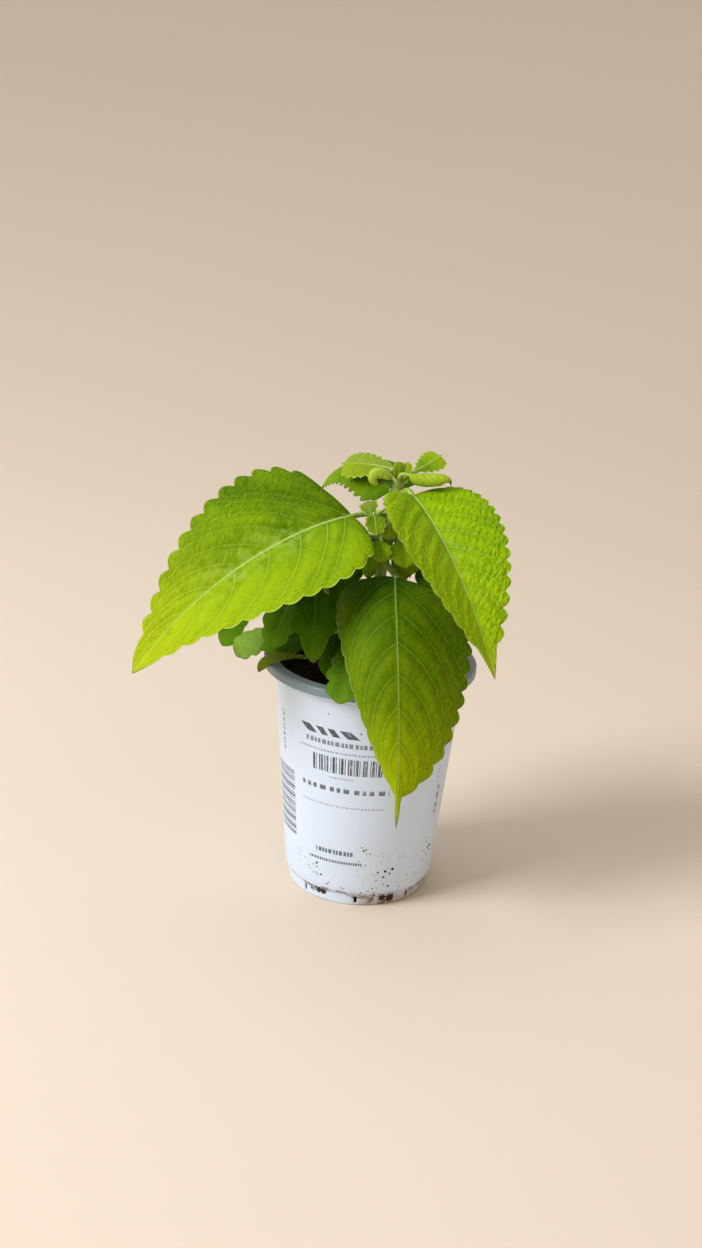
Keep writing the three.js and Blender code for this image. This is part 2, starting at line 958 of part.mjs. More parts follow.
        pitch: [0, -45],
      },
      {
        ...lowLeaf,
        place: 0.7,
        base: [14, 24, 142],
        length: 32,
        halfWidth: 11,
        heading: [30, 30],
        pitch: [0, -45],
      },
    ],
  },
  low_shoot_back_left: {
    radius: 1.2,
    route: [[0, 1, 134], [-9, 12, 142], [-20, 22, 151]],
    leaves: [
      {
        ...lowLeaf,
        place: 1,
        base: [-24, 26, 152],
        length: 34,
        halfWidth: 11,
        heading: [130, 130],
        pitch: [0, -50],
      },
      {
        ...lowLeaf,
        place: 0.7,
        base: [-22, 18, 141],
        length: 22,
        halfWidth: 9,
        heading: [175, 175],
        pitch: [0, -45],
      },
    ],
  },
};

const coleus = new THREE.Group();
coleus.name = "coleus_in_pot";
coleus.add(mesh("pot", makePot(), 0xdfe2e2, 0.4));
coleus.add(mesh("soil", makeSoil(), 0x2a1d17, 0.95));
coleus.add(mesh("stem", stemSolid(0, true), 0x9bb52c, 0.6));
for (const [name, leaf] of Object.entries(stemLeaves)) {
  coleus.add(mesh(name, stemLeaf(leaf), 0x86ab10, 0.55));
}
for (const [name, plan] of Object.entries(shoots)) {
  coleus.add(mesh(name, shoot(plan), 0x4b7410, 0.6));
}

export default coleus;
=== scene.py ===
import math

import bpy
import numpy as np
from mathutils import Matrix


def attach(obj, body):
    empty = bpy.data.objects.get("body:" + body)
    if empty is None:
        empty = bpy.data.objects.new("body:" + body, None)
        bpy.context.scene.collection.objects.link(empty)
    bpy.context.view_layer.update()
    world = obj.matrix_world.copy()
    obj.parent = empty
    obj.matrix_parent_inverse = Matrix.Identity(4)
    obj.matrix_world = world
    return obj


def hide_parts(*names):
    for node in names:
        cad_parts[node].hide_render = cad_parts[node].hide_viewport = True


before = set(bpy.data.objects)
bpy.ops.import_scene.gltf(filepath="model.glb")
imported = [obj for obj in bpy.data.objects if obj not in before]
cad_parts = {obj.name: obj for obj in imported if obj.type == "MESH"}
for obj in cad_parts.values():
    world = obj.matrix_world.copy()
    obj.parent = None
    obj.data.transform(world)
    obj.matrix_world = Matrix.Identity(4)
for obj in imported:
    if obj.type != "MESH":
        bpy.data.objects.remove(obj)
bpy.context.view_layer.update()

mm = 0.001
tau = 2 * math.pi


# Camera and lights

view = {
    "place": (0.0, -0.740, 0.399),
    "pitch": 19.32,  # degrees down
    "yaw": -0.84,
    "roll": -3.33,
    "focalPixels": 1554,
    "longSidePixels": 1248,
    "sensor": 36.0,
    "nearest": 0.01,
}


# A camera looks along its pitch and yaw, and its roll turns its level and upright directions round that way.
def addCamera(view):
    pitch, yaw, roll = (math.radians(view[key]) for key in ("pitch", "yaw", "roll"))
    level = math.cos(pitch)
    forward = np.array([math.sin(yaw) * level, math.cos(yaw) * level, -math.sin(pitch)])
    level = np.array([math.cos(yaw), -math.sin(yaw), 0.0])
    above = np.cross(level, forward)
    right = math.cos(roll) * level - math.sin(roll) * above
    up = math.sin(roll) * level + math.cos(roll) * above
    data = bpy.data.cameras.new("camera")
    data.sensor_width = view["sensor"]
    data.lens = view["focalPixels"] / view["longSidePixels"] * view["sensor"]
    data.clip_start = view["nearest"]
    camera = bpy.data.objects.new("camera", data)
    turn = Matrix([right, up, -forward]).transposed().to_4x4()
    camera.matrix_world = Matrix.Translation(view["place"]) @ turn
    bpy.context.collection.objects.link(camera)
    bpy.context.scene.camera = camera


lights = {
    "keyLight": {"place": (-1.5, -0.8, 1.4), "size": 0.9, "power": 42, "color": (0.96, 0.98, 1.0)},
    "fillLight": {"place": (1.6, -1.4, 1.1), "size": 1.8, "power": 4, "color": (1.0, 0.9, 0.78)},
    "topLight": {"place": (-0.3, 0.5, 2.0), "size": 1.6, "power": 8, "color": (0.95, 0.97, 1.0)},
}
aimHeight = 0.12  # the lamps point at this height on the axis
sky = {"Color": (0.93, 0.96, 1.0, 1), "Strength": 0.5}


# Each lamp's back is the unit vector from a point on the upright axis to the lamp.
def addLights(lights):
    for name, one in lights.items():
        data = bpy.data.lights.new(name, "AREA")
        data.energy = one["power"]
        data.size = one["size"]
        data.color = one["color"]
        lamp = bpy.data.objects.new(name, data)
        place = np.array(one["place"])
        back = place - np.array([0, 0, aimHeight])
        back = back / np.linalg.norm(back)
        side = np.cross([0, 0, 1], back)
        side = side / np.linalg.norm(side)
        turn = Matrix([side, np.cross(back, side), back]).transposed().to_4x4()
        lamp.matrix_world = Matrix.Translation(place) @ turn
        bpy.context.collection.objects.link(lamp)
    world = bpy.data.worlds.new("studio")
    world.use_nodes = True
    for key, value in sky.items():
        world.node_tree.nodes["Background"].inputs[key].default_value = value
    bpy.context.scene.world = world
    bpy.context.scene.view_settings.view_transform = "Standard"


# Shader tools


class Socket:
    # Wraps a node's output, so that an expression on it adds Math nodes.
    def __init__(self, shader, output):
        self.shader = shader
        self.output = output

    def math(self, operation, *inputs):
        return self.shader.add("ShaderNodeMath", {"operation": operation}, inputs)

    def __add__(self, other):
        return self.math("ADD", self, other)

    def __mul__(self, other):
        return self.math("MULTIPLY", self, other)

    def __sub__(self, other):
        return self.math("SUBTRACT", self, other)

    def __rsub__(self, other):
        return self.math("SUBTRACT", other, self)

    def __truediv__(self, other):
        return self.math("DIVIDE", self, other)

    def __rtruediv__(self, other):
        return self.math("DIVIDE", other, self)

    __radd__, __rmul__ = __add__, __mul__

    def sine(self):
        return self.math("SINE", self)

    def fraction(self):
        return self.math("FRACT", self)

    def most(self, other):
        return self.math("MAXIMUM", self, other)

    # 0 below low and 1 above high, with a smooth step between
    def step(self, low, high):
        settings = {"interpolation_type": "SMOOTHSTEP"}
        values = {"Value": self, "From Min": low, "From Max": high}
        return self.shader.add("ShaderNodeMapRange", settings, values)

    # 1 between low and high, with soft ends
    def band(self, low, high, soft):
        return self.step(low - soft, low + soft) * (1 - self.step(high - soft, high + soft))


class Shader:
    def __init__(self, name, look):
        self.look = look
        self.material = bpy.data.materials.new(name)
        self.material.use_nodes = True
        self.tree = self.material.node_tree
        self.tree.nodes.clear()

    # A node of a kind, with its settings first and then the values or links of its sockets.
    def add(self, kind, settings, values=(), output=0):
        node = self.tree.nodes.new(kind)
        for key, value in settings.items():
            setattr(node, key, value)
        pairs = values.items() if isinstance(values, dict) else enumerate(values)
        for key, value in pairs:
            if isinstance(value, Socket):
                self.tree.links.new(value.output, node.inputs[key])
            else:
                node.inputs[key].default_value = value
        return Socket(self, node.outputs[output])

    # The shade starts as a mix of two of the look's colours, and each paint lays another over it by a mask.
    def ground(self, share, low, high):
        self.shade = self.look[low]
        self.paint(share, high)

    def paint(self, mask, name):
        values = {0: mask, 6: self.shade, 7: self.look[name]}
        self.shade = self.add("ShaderNodeMix", {"data_type": "RGBA"}, values, 2)

    def axes(self, vector):
        return [self.add("ShaderNodeSeparateXYZ", {}, [vector], axis) for axis in range(3)]

    def attribute(self, name):
        return self.axes(self.add("ShaderNodeAttribute", {"attribute_name": name}, {}, "Vector"))

    def place(self):
        return self.add("ShaderNodeTexCoord", {}, {}, "Object")

    def vector(self, x, y, z):
        return self.add("ShaderNodeCombineXYZ", {}, [x, y, z])

    def noise(self, vector, scale, detail=2.0, roughness=0.5):
        values = {"Vector": vector, "Scale": scale, "Detail": detail, "Roughness": roughness}
        return self.add("ShaderNodeTexNoise", {}, values)

    def cells(self, vector, scale, feature="DISTANCE_TO_EDGE", output="Distance"):
        values = {"Vector": vector, "Scale": scale}
        return self.add("ShaderNodeTexVoronoi", {"feature": feature}, values, output)

    def bump(self, height, strength, distance):
        values = {"Height": height, "Strength": strength, "Distance": distance}
        return self.add("ShaderNodeBump", {}, values)

    def finish(self, roughness, normal=None, more=()):
        values = {"Base Color": self.shade, "Roughness": roughness, **dict(more)}
        if normal:
            values["Normal"] = normal
        surface = self.add("ShaderNodeBsdfPrincipled", {}, values)
        end = self.tree.nodes.new("ShaderNodeOutputMaterial")
        self.tree.links.new(surface.output, end.inputs["Surface"])
        return self.material


# An sRGB colour from 0 to 255 as a linear one
def color(red, green, blue):
    share = np.array([red, green, blue]) / 255
    linear = np.where(share > 0.04045, ((share + 0.055) / 1.055) ** 2.4, share / 12.92)
    return (*linear, 1.0)


# Mesh tools


class Pieces:
    # Collects points in millimetres, faces, materials and attributes of three numbers, and makes one mesh.
    def __init__(self):
        self.points, self.quads, self.triangles = [], [], []
        self.quadMaterials, self.triangleMaterials = [], []
        self.attributes = {}
        self.count = 0

    def add(self, points, quads, triangles, material=0, attributes=None):
        points = np.asarray(points, float).reshape(-1, 3)
        before = self.count
        self.points.append(points)
        self.count += len(points)
        for found, faces, materials, size in (
            (quads, self.quads, self.quadMaterials, 4),
            (triangles, self.triangles, self.triangleMaterials, 3),
        ):
            found = np.asarray(found, int).reshape(-1, size) + before
            faces.append(found)
            materials.append(np.full(len(found), material))
        for name, values in (attributes or {}).items():
            values = np.asarray(values, float).reshape(-1, 3)
            self.attributes.setdefault(name, []).append((before, values))

    # A closed body: rings of points from the lowest to the highest, with a pole at each end
    def addRings(self, rings, poles, material=0):
        rows, columns = rings.shape[:2]
        points = np.vstack([rings.reshape(-1, 3), poles])
        self.add(points, gridQuads(rows, columns, True), poleFans(rows, columns), material)

    def make(self, name, materials):
        points = np.vstack(self.points) * mm
        quads, triangles = np.vstack(self.quads), np.vstack(self.triangles)
        corners = np.concatenate([quads.ravel(), triangles.ravel()])
        sizes = np.repeat([4, 3], [len(quads), len(triangles)])
        mesh = bpy.data.meshes.new(name)
        mesh.vertices.add(len(points))
        mesh.vertices.foreach_set("co", points.ravel())
        mesh.loops.add(len(corners))
        mesh.loops.foreach_set("vertex_index", corners)
        mesh.polygons.add(len(sizes))
        mesh.polygons.foreach_set("loop_start", np.concatenate([[0], np.cumsum(sizes)[:-1]]))
        mesh.polygons.foreach_set("loop_total", sizes)
        mesh.polygons.foreach_set("use_smooth", np.ones(len(sizes), bool))
        indexes = np.concatenate(self.quadMaterials + self.triangleMaterials)
        mesh.polygons.foreach_set("material_index", indexes)
        for key, parts in self.attributes.items():
            values = np.zeros((len(points), 3))
            for before, part in parts:
                values[before : before + len(part)] = part
            made = mesh.attributes.new(key, "FLOAT_VECTOR", "POINT")
            made.data.foreach_set("vector", values.ravel())
        for material in materials:
            mesh.materials.append(material)
        mesh.update(calc_edges=True)
        mesh.validate()
        piece = bpy.data.objects.new(name, mesh)
        bpy.context.collection.objects.link(piece)
        return piece


def finishPiece(pieces, node, materials):
    piece = pieces.make(node + "Fine", materials)
    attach(piece, "root")
    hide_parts(node)


# Quads of a grid of rows by columns. wrap joins its last column to its first.
def gridQuads(rows, columns, wrap=False):
    columnCount = columns if wrap else columns - 1
    i, j = np.meshgrid(np.arange(rows - 1), np.arange(columnCount), indexing="ij")
    k = (j + 1) % columns
    quads = [i * columns + j, i * columns + k, (i + 1) * columns + k, (i + 1) * columns + j]
    return np.stack(quads, -1).reshape(-1, 4)


# Fans that close a grid of rings: its first row round the point after the grid, its last round the next one
def poleFans(rows, columns):
    count = rows * columns
    j = np.arange(columns)
    k = (j + 1) % columns
    top = count - columns
    first = np.stack([np.full(columns, count), k, j], -1)
    last = np.stack([np.full(columns, count + 1), top + j, top + k], -1)
    return np.vstack([first, last])


# A vector over its length
def unit(vectors):
    return vectors / np.maximum(np.linalg.norm(vectors, axis=-1, keepdims=True), 1e-12)


hashPrimes = (73856093, 19349663, 83492791)


# Value noise: a hash of each corner of a unit lattice, blended by a smooth step between them, from -1 to 1
def latticeNoise(points, seed):
    points = np.asarray(points, float)
    cell = np.floor(points).astype(np.int64)
    part = points - cell
    part = part * part * (3 - 2 * part)
    total = 0
    for corner in np.ndindex(2, 2, 2):
        at = cell + np.array(corner)
        x, y, z = (at[..., axis] * prime for axis, prime in enumerate(hashPrimes))
        key = x ^ y ^ z ^ (seed * 2654435)
        key = (key ^ (key >> 13)) * 1274126177 & 0x7FFFFFFF
        value = (key ^ (key >> 16)) % 65536 / 32767.5 - 1
        weight = np.prod(np.where(np.array(corner) == 1, part, 1 - part), axis=-1)
        total = total + value * weight
    return total


# A curve through points, by the centripetal Catmull-Rom formula, with places from 0 to 1
def curveThrough(points, places):
    points = np.asarray(points, float)
    ends = np.vstack([2 * points[0] - points[1], points, 2 * points[-1] - points[-2]])
    span = np.clip(np.asarray(places, float), 0, 1) * (len(points) - 1)
    index = np.minimum(span.astype(int), len(points) - 2)
    t = (span - index)[:, None]
    a, b, c, d = (ends[index + k] for k in range(4))
    pairs = ((a, b), (b, c), (c, d))
    first, second, third = (np.linalg.norm(q - p, axis=1, keepdims=True) ** 0.5 for p, q in pairs)
    leave = second * ((b - a) / first - (c - a) / (first + second) + (c - b) / second)
    arrive = second * ((c - b) / second - (d - b) / (second + third) + (d - c) / third)
    blend = (2 * t**3 - 3 * t**2 + 1) * b + (t**3 - 2 * t**2 + t) * leave
    return blend + (3 * t**2 - 2 * t**3) * c + (t**3 - t**2) * arrive


# A closed round rod along a path: rings at right angles to it, with a point at each end
def addRod(pieces, path, radii, sides, material):
    path = np.asarray(path, float)
    ahead = unit(np.gradient(path, axis=0))
    reference = np.eye(3)[np.abs(ahead).sum(axis=0).argmin()]
    side = unit(np.cross(ahead, reference))
    other = np.cross(ahead, side)
    turn = np.linspace(0, tau, sides, endpoint=False)[:, None]
    ring = side[:, None] * np.cos(turn) + other[:, None] * np.sin(turn)
    rings = path[:, None] + ring * np.asarray(radii)[:, None, None]
    first, last = path[0] - ahead[0] * radii[0] * 0.4, path[-1] + ahead[-1] * radii[-1] * 0.4
    pieces.addRings(rings, [first, last], material)


hairSpread, hairLengths = 0.35, (0.6, 1.25)
hairSlant = (0.31, 0.52, 0.79)  # any slanting direction, which gives a hair its side by a cross product


# Hairs: thin closed spikes on roots, each the outward direction with a normal draw added, of its own length
def addHairs(pieces, roots, outward, length, radius, material, generator):
    lean = unit(outward + generator.normal(0, hairSpread, roots.shape))
    side = unit(np.cross(lean, hairSlant))
    other = np.cross(lean, side)
    long = length * generator.uniform(*hairLengths, (len(roots), 1))
    base = [roots + radius * (side * math.cos(t) + other * math.sin(t)) for t in (0, tau / 3, 2 * tau / 3)]
    points = np.stack([*base, roots + lean * long], 1).reshape(-1, 3)
    start = 4 * np.arange(len(roots))[:, None, None]
    faces = start + np.array([[0, 2, 1], [0, 1, 3], [1, 2, 3], [2, 0, 3]])
    pieces.add(points, [], faces.reshape(-1, 3), material)


# Pot

pot = {
    "height": 122.9,
    "lipRadius": 54.0,
    "lipDepth": 4.4,
    "lipSkirt": 1.2,
    "lipRounding": 0.9,
    "wall": 1.2,
    "rimRounding": 0.6,
    "bodyTopRadius": 48.4,
    "bodyFootRadius": 38.4,
    "footRadius": 36.4,
    "footHeight": 7.7,
    "footTaper": 0.5,
    "footBevel": 1.0,
    "stepFall": 1.0,
    "drains": 8,
    "drainWidth": 1.5,
    "drainLow": 1.6,
    "drainHigh": 5.2,
    "ringBelowLip": 3.6,  # a faint moulded line round the body
    "ringDepth": 0.22,
    "ringHalf": 0.35,
    "soft": 0.3,  # the small roundings
    "floorRings": (12.0, 26.0),
    "sides": 240,
}


# The body's outside is a cone: its radius grows evenly from the foot to the lip's skirt.
def bodyRadius(height):
    rise = pot["height"] - pot["lipDepth"] - pot["footHeight"]
    growth = pot["bodyTopRadius"] - pot["bodyFootRadius"]
    return pot["bodyFootRadius"] + growth * (height - pot["footHeight"]) / rise


# The profile is a list of (radius, height): outside from the axis up and over the lip, then down the inside.
# Round edges go by the sine and the cosine of a turn, and the walls between them are straight.
def potProfile():
    top, foot, wall, soft = (pot[key] for key in ("height", "footHeight", "wall", "soft"))
    lip, skirt, rounding, rim = (pot[key] for key in ("lipRadius", "lipSkirt", "lipRounding", "rimRounding"))
    footRadius, bodyFoot, bevelSize = pot["footRadius"], pot["bodyFootRadius"], pot["footBevel"]
    skirtFoot, stepFoot, lipFoot = top - pot["lipDepth"], foot - pot["stepFall"], top - wall
    ring, ringHalf = skirtFoot - pot["ringBelowLip"], pot["ringHalf"]
    inner, footTop = bodyRadius(top) - wall, footRadius + pot["footTaper"]
    drains = (pot["drainLow"], pot["drainHigh"])
    nearAxis, offAxis = pot["floorRings"]
    turn = np.linspace(0, math.pi / 2, 7)

    def footAt(height):
        return footRadius + pot["footTaper"] * (height - bevelSize) / (stepFoot - bevelSize)

    outside = [(nearAxis, 0.0), (offAxis, 0.0)]
    outside += [(footRadius - bevelSize * (1 - math.sin(t)), bevelSize * (1 - math.cos(t))) for t in turn]
    outerLow = len(outside)
    outside += [(footAt(h), h) for h in drains]
    outside += [(footTop, stepFoot), (footTop + 0.4, foot - 0.62), (bodyFoot - 0.35, foot - soft)]
    outside += [(bodyRadius(h), h) for h in np.linspace(foot + 0.5, ring - 0.8, 26)]
    outside += [(bodyRadius(ring - ringHalf), ring - ringHalf), (bodyRadius(ring) - pot["ringDepth"], ring)]
    outside += [(bodyRadius(ring + ringHalf), ring + ringHalf), (bodyRadius(skirtFoot), skirtFoot)]
    outside += [(bodyRadius(lipFoot) - 0.05, lipFoot - 0.5), (bodyRadius(lipFoot) + 0.5, lipFoot)]
    outside += [(lip - skirt - soft, lipFoot), (lip - skirt, lipFoot - soft), (lip - skirt, skirtFoot + soft)]
    for t in np.linspace(-1.3, 1.3, 7):
        outside.append((lip - skirt / 2 + skirt / 2 * math.sin(t), skirtFoot + soft - soft * math.cos(t)))
    outside += [(lip, h) for h in np.linspace(skirtFoot + 0.5, top - rounding, 4)]
    outside += [(lip - rounding * (1 - math.cos(t)), top - rounding * (1 - math.sin(t))) for t in turn[1:]]
    outside += [(r, top) for r in np.linspace(lip - rounding - 0.4, inner + rim + soft, 5)]
    outside += [(inner + rim * (1 - math.sin(t)), top - rim * (1 - math.cos(t))) for t in turn]
    inside = [(bodyRadius(h) - wall, h) for h in np.linspace(top - 2, foot + 1, 24)]
    inside += [(bodyFoot - wall, foot), (footTop - wall, stepFoot)]
    innerHigh = len(outside) + len(inside)
    inside += [(footAt(h) - wall, h) for h in drains[::-1]]
    inside += [(footRadius - wall - soft, wall), (nearAxis, wall)]
    return np.array(outside + inside), len(outside), (outerLow, outerLow + 1, innerHigh, innerHigh + 1)


# The profile turned about the axis. Each drain slot leaves out the quads of two columns in both walls, and
# four strips join the holes' edges.
def makePot():
    profile, outer, (outerLow, outerHigh, innerHigh, innerLow) = potProfile()
    rows, sides, drains = len(profile), pot["sides"], pot["drains"]
    turn = np.linspace(0, tau, sides, endpoint=False)
    centres = np.arange(drains) * (sides // drains)
    half = pot["drainWidth"] / 2 / pot["footRadius"]
    turn[(centres - 1) % sides] = turn[centres] - half
    turn[centres + 1] = turn[centres] + half
    x, y = profile[:, :1] * np.cos(turn), profile[:, :1] * np.sin(turn)
    z = np.repeat(profile[:, 1:], sides, axis=1)
    points = np.stack([x, y, z], -1).reshape(-1, 3)
    quads = gridQuads(rows, sides, True)
    row, column = quads[:, 0] // sides, quads[:, 0] % sides
    inSlot = np.isin(column, np.concatenate([centres, (centres - 1) % sides]))
    quads = quads[~(inSlot & np.isin(row, [outerLow, innerHigh]))]
    walls = []  # corners as (row, column)
    for centre in centres:
        left, right = (centre - 1) % sides, centre + 1
        for a, b in ((left, centre), (centre, right)):
            walls.append([(outerLow, a), (outerLow, b), (innerLow, b), (innerLow, a)])
            walls.append([(outerHigh, b), (outerHigh, a), (innerHigh, a), (innerHigh, b)])
        walls.append([(outerHigh, left), (outerLow, left), (innerLow, left), (innerHigh, left)])
        walls.append([(outerLow, right), (outerHigh, right), (innerHigh, right), (innerLow, right)])
    quads = np.vstack([quads, np.array(walls) @ [sides, 1]])
    poles = [[0, 0, 0], [0, 0, pot["wall"]]]
    row = np.append(np.repeat(np.arange(rows), sides), [0, rows])
    zones = np.stack([row > outer, 0 * row, 0 * row], -1)
    pieces = Pieces()
    pieces.add(np.vstack([points, poles]), quads, poleFans(rows, sides), 0, {"zones": zones})
    addSpecks(pieces)
    finishPiece(pieces, "pot", [potMaterial(), dirtMaterial()])


# Flecks of dried soil on the wall lie in patches: degrees round from the front and height of the middle,
# how far the flecks stray from it in degrees and millimetres, how many there are, and their sizes.
fleckPatches = [
    (4, 30, 6, 7, 8, (0.7, 1.5)),
    (22, 20, 7, 3, 5, (1.2, 2.6)),
    (23, 13, 4, 2, 4, (0.9, 1.8)),
    (-25, 14, 6, 4, 4, (0.9, 2.2)),
    (-33, 19, 2, 5, 5, (0.5, 1.9)),
    (60, 27, 9, 7, 9, (0.9, 2.1)),
    (-32, 5, 7, 1, 6, (1.6, 4.2)),
    (26, 4.5, 6, 0.8, 8, (2.2, 4.8)),
    (150, 18, 60, 9, 8, (1.6, 2.9)),
    (-23, 108, 0, 0, 1, (1.0, 1.1)),
]


# The wall's outside: the foot's own slight taper up to the foot's height, and the body's cone above it
def outerRadius(height):
    rise = pot["footHeight"] - pot["stepFall"]
    foot = pot["footRadius"] + pot["footTaper"] * (height - pot["footBevel"]) / rise
    return np.where(height > pot["footHeight"], bodyRadius(height), foot)


# Each fleck is a low dome on the wall: a ring sunk in it, a smaller one raised, and a pole at both ends. Its
# outline waves at random.
def addSpecks(pieces):
    generator = np.random.default_rng(2)
    corners, sunk, up = 8, 0.3, np.array([0, 0, 1])
    drawn = []
    for turn, height, turnStray, heightStray, count, sizes in fleckPatches:
        way, far = generator.uniform(0, tau, count), np.sqrt(generator.uniform(0, 1, count))
        size = generator.uniform(*sizes, count)
        drawn.append([turn + turnStray * far * np.cos(way), height + heightStray * far * np.sin(way), size])
    turn, height, size = np.hstack(drawn)
    turn = np.radians(turn - 90)
    outward = np.stack([np.cos(turn), np.sin(turn), 0 * turn], -1)[:, None]
    flat = np.stack([-np.sin(turn), np.cos(turn), 0 * turn], -1)[:, None]
    middle = outward * outerRadius(height)[:, None, None] + height[:, None, None] * up
    ring = np.arange(corners) * tau / corners
    reach = size[:, None] * 0.5 * generator.uniform(0.55, 1.3, (len(size), corners))
    edge = middle + (reach * np.cos(ring))[..., None] * flat + (reach * np.sin(ring))[..., None] * up
    size = size[:, None, None]
    low, high = edge - outward * sunk, edge * 0.45 + middle * 0.55 + outward * (0.12 * size + 0.08)
    top, back = middle + outward * (0.14 * size + 0.1), middle - outward * sunk
    points = np.concatenate([low, high, top, back], 1)
    j = np.arange(corners)
    k = (j + 1) % corners
    quads = np.stack([j, k, k + corners, j + corners], -1)
    over = np.stack([j + corners, k + corners, 0 * j + 2 * corners], -1)
    under = np.stack([k, j, 0 * j + 2 * corners + 1], -1)
    start = (2 * corners + 2) * np.arange(len(size))[:, None, None]
    pieces.add(points, (start + quads).reshape(-1, 4), (start + np.vstack([over, under])).reshape(-1, 3), 1)


dirtLook = {"dark": color(22, 17, 14), "light": color(74, 52, 38)}


# Noise mixes the two browns and raises the grain.
def dirtMaterial():
    shader = Shader("driedSoil", dirtLook)
    grain = shader.noise(shader.place(), 900, 3)
    shader.ground(grain, "dark", "light")
    return shader.finish(0.95, shader.bump(grain, 0.6, 0.0006))


potLook = {
    "white": color(212, 228, 250),
    "shadedWhite": color(206, 220, 238),
    "lip": color(118, 138, 150),
    "flange": color(142, 160, 170),
    "inside": color(62, 58, 52),
    "ink": color(18, 20, 26),
    "grime": color(72, 50, 36),
    "stain": color(166, 140, 118),
}

# Plain marks in the place of the printing: from and to in degrees round from the front, low and high in
# millimetres, the length of one dash with its gap, the share of it that is inked, how dark it is, and its
# way. A length is in degrees where the dashes run round, and in millimetres where they run up.
panelLeft, panelRight = -43, 16
marks = [
    (panelLeft, -2, 96, 100, 9.5, 0.62, 0.9, "slanted"),
    (panelLeft + 4, panelRight - 2, 91, 93.5, 3, 0.72, 0.7, "round"),
    (panelLeft - 2, panelRight, 87, 88, 2, 0.7, 0.55, "round"),
    (panelLeft + 9, panelRight, 76, 85, 3.3, 0.5, 0.95, "bars"),
    (panelLeft + 21, -6, 73, 74, 1.4, 0.6, 0.5, "round"),
    (panelLeft, panelRight + 2, 65.5, 68, 5.6, 0.6, 0.8, "round"),
    (panelLeft, panelRight - 1, 57, 58, 2.4, 0.66, 0.4, "round"),
    (panelLeft + 11, -3, 29.5, 32, 2.7, 0.74, 0.8, "round"),
    (panelLeft + 5, 3, 24.5, 26, 1.7, 0.72, 0.85, "round"),
    (-78, -52, 32, 69, 3, 0.5, 0.85, "stacked"),
    (-65, -62, 77, 101, 2.6, 0.6, 0.6, "upright"),
    (53, 63, 84, 87, 5.5, 0.66, 0.65, "round"),
    (51, 63, 78, 81, 3.6, 0.75, 0.8, "round"),
    (59, 61, 66, 75, 2.2, 0.5, 0.4, "upright"),
    (62, 65, 45, 63, 4.6, 0.68, 0.75, "upright"),
]
barWaves, dashWave = (5.3, 8.9, 2.1), 1.9
softAcross, softUp = 0.25, 0.12  # how soft a mark's edges are, in degrees and in millimetres


# Dashes are the fraction of the way over the dash's length, moved about by a sine. Bars are a sum of sines.
def printMask(shader, angle, height):
    total = 0
    for start, end, low, high, dash, inked, dark, way in marks:
        number = start * 0.37 + low
        along = height if way in ("upright", "stacked") else angle
        if way in ("bars", "stacked"):
            fast, faster, slow = (wave / dash * 2 for wave in barWaves)
            waves = (along * fast + number).sine() + (along * faster + 1).sine()
            pattern = (waves + (along * slow).sine() * 0.8).step(-0.05, 0.1)
        else:
            lean = (height - low) * 1.2 if way == "slanted" else 0
            part = ((along + lean) / dash + (along * (dashWave / dash) + number).sine() * 0.16).fraction()
            pattern = 1 - part.step(inked - 0.05, inked)
        block = angle.band(start, end, softAcross) * height.band(low, high, softUp)
        total = (block * pattern * dark).most(total)
    return total


# Over the mottled white lie the marks, the dust and the grime by height and angle, and then the lip and the
# flange in grey-blue and the inside in a dark grey-brown. The flange is the lighter, partly as painted light
# against the shadow of the leaves over it.
def potMaterial():
    shader = Shader("potPlastic", potLook)
    paint, place = shader.paint, shader.place()
    x, y, z = shader.axes(place)
    height = z * 1000
    angle = x.math("ARCTAN2", x, y * -1) * (180 / math.pi)  # 0 in front, growing to the right
    inside = shader.attribute("zones")[0]
    top = pot["height"]
    mottle = shader.noise(place, 45, 3)
    fine = shader.noise(place, 900, 2)
    wear = shader.noise(place, 420, 2).step(0.3, 0.45)
    # Towards the bottom the white is mixed, by noise, with a darker shaded white: painted shade.
    shader.ground((1 - height.step(0, 55)) * (0.25 + mottle * 0.5), "white", "shadedWhite")
    paint(printMask(shader, angle, height) * (0.65 + wear * 0.35), "ink")
    low = 1 - height.step(8, 46)
    dust = (1 - shader.cells(place, 420, "F1").step(0.16, 0.24)) * shader.noise(place, 70, 2).step(0.46, 0.6)
    paint(dust * low, "grime")
    creep = height + mottle * 9
    seam = creep.band(9.4, 11.6, 0.7) * shader.noise(place, 140, 3).step(0.42, 0.6)
    paint((1 - creep.step(5, 15)) * angle.step(-8, 6) * 0.7, "stain")
    paint(seam * 0.8, "grime")
    clump = shader.noise(place, 260, 4, 0.7)
    heavyLeft = height.band(3.6, 7.2, 0.6) * angle.band(-38, -26, 3)
    heavy = heavyLeft + height.band(0.5, 7.0, 0.5) * angle.band(10, 30, 4)
    paint(heavy * clump.step(0.46, 0.56) * 0.9, "grime")
    line = height.band(6.7, 7.5, 0.2) * shader.noise(place, 180, 3).step(0.4, 0.55)
    paint(line * 0.6, "grime")
    skirt = top - pot["lipDepth"]
    paint(height.step(skirt - 0.1, skirt), "lip")
    # The flange: the lip's grey-blue painted lighter, painted light against the shadow of the leaves over it.
    paint(height.step(top - 0.5, top - 0.15), "flange")
    paint(inside, "inside")
    roughness = 0.3 + fine * 0.14
    return shader.finish(roughness, shader.bump(fine, 0.06, 0.0004))


# Soil

soil = {
    "level": 108.6,
    "bump": 1.3,
    "clearance": 0.3,
    "sideTop": 2.5,  # how far below the level its straight side ends
    "rings": 90,
    "sides": 200,
    "crumbs": 420,
    "crumbSize": (0.5, 1.7),
}


# The broad waves of the surface: two products of a sine and a cosine, added
def soilRise(x, y):
    broad = np.sin(x * 0.13 + 1.1) * np.cos(y * 0.11 - 0.4)
    small = np.sin(x * 0.31 - y * 0.27) * np.cos(x * 0.19 + y * 0.36)
    return soil["bump"] * (0.6 * broad + 0.4 * small)


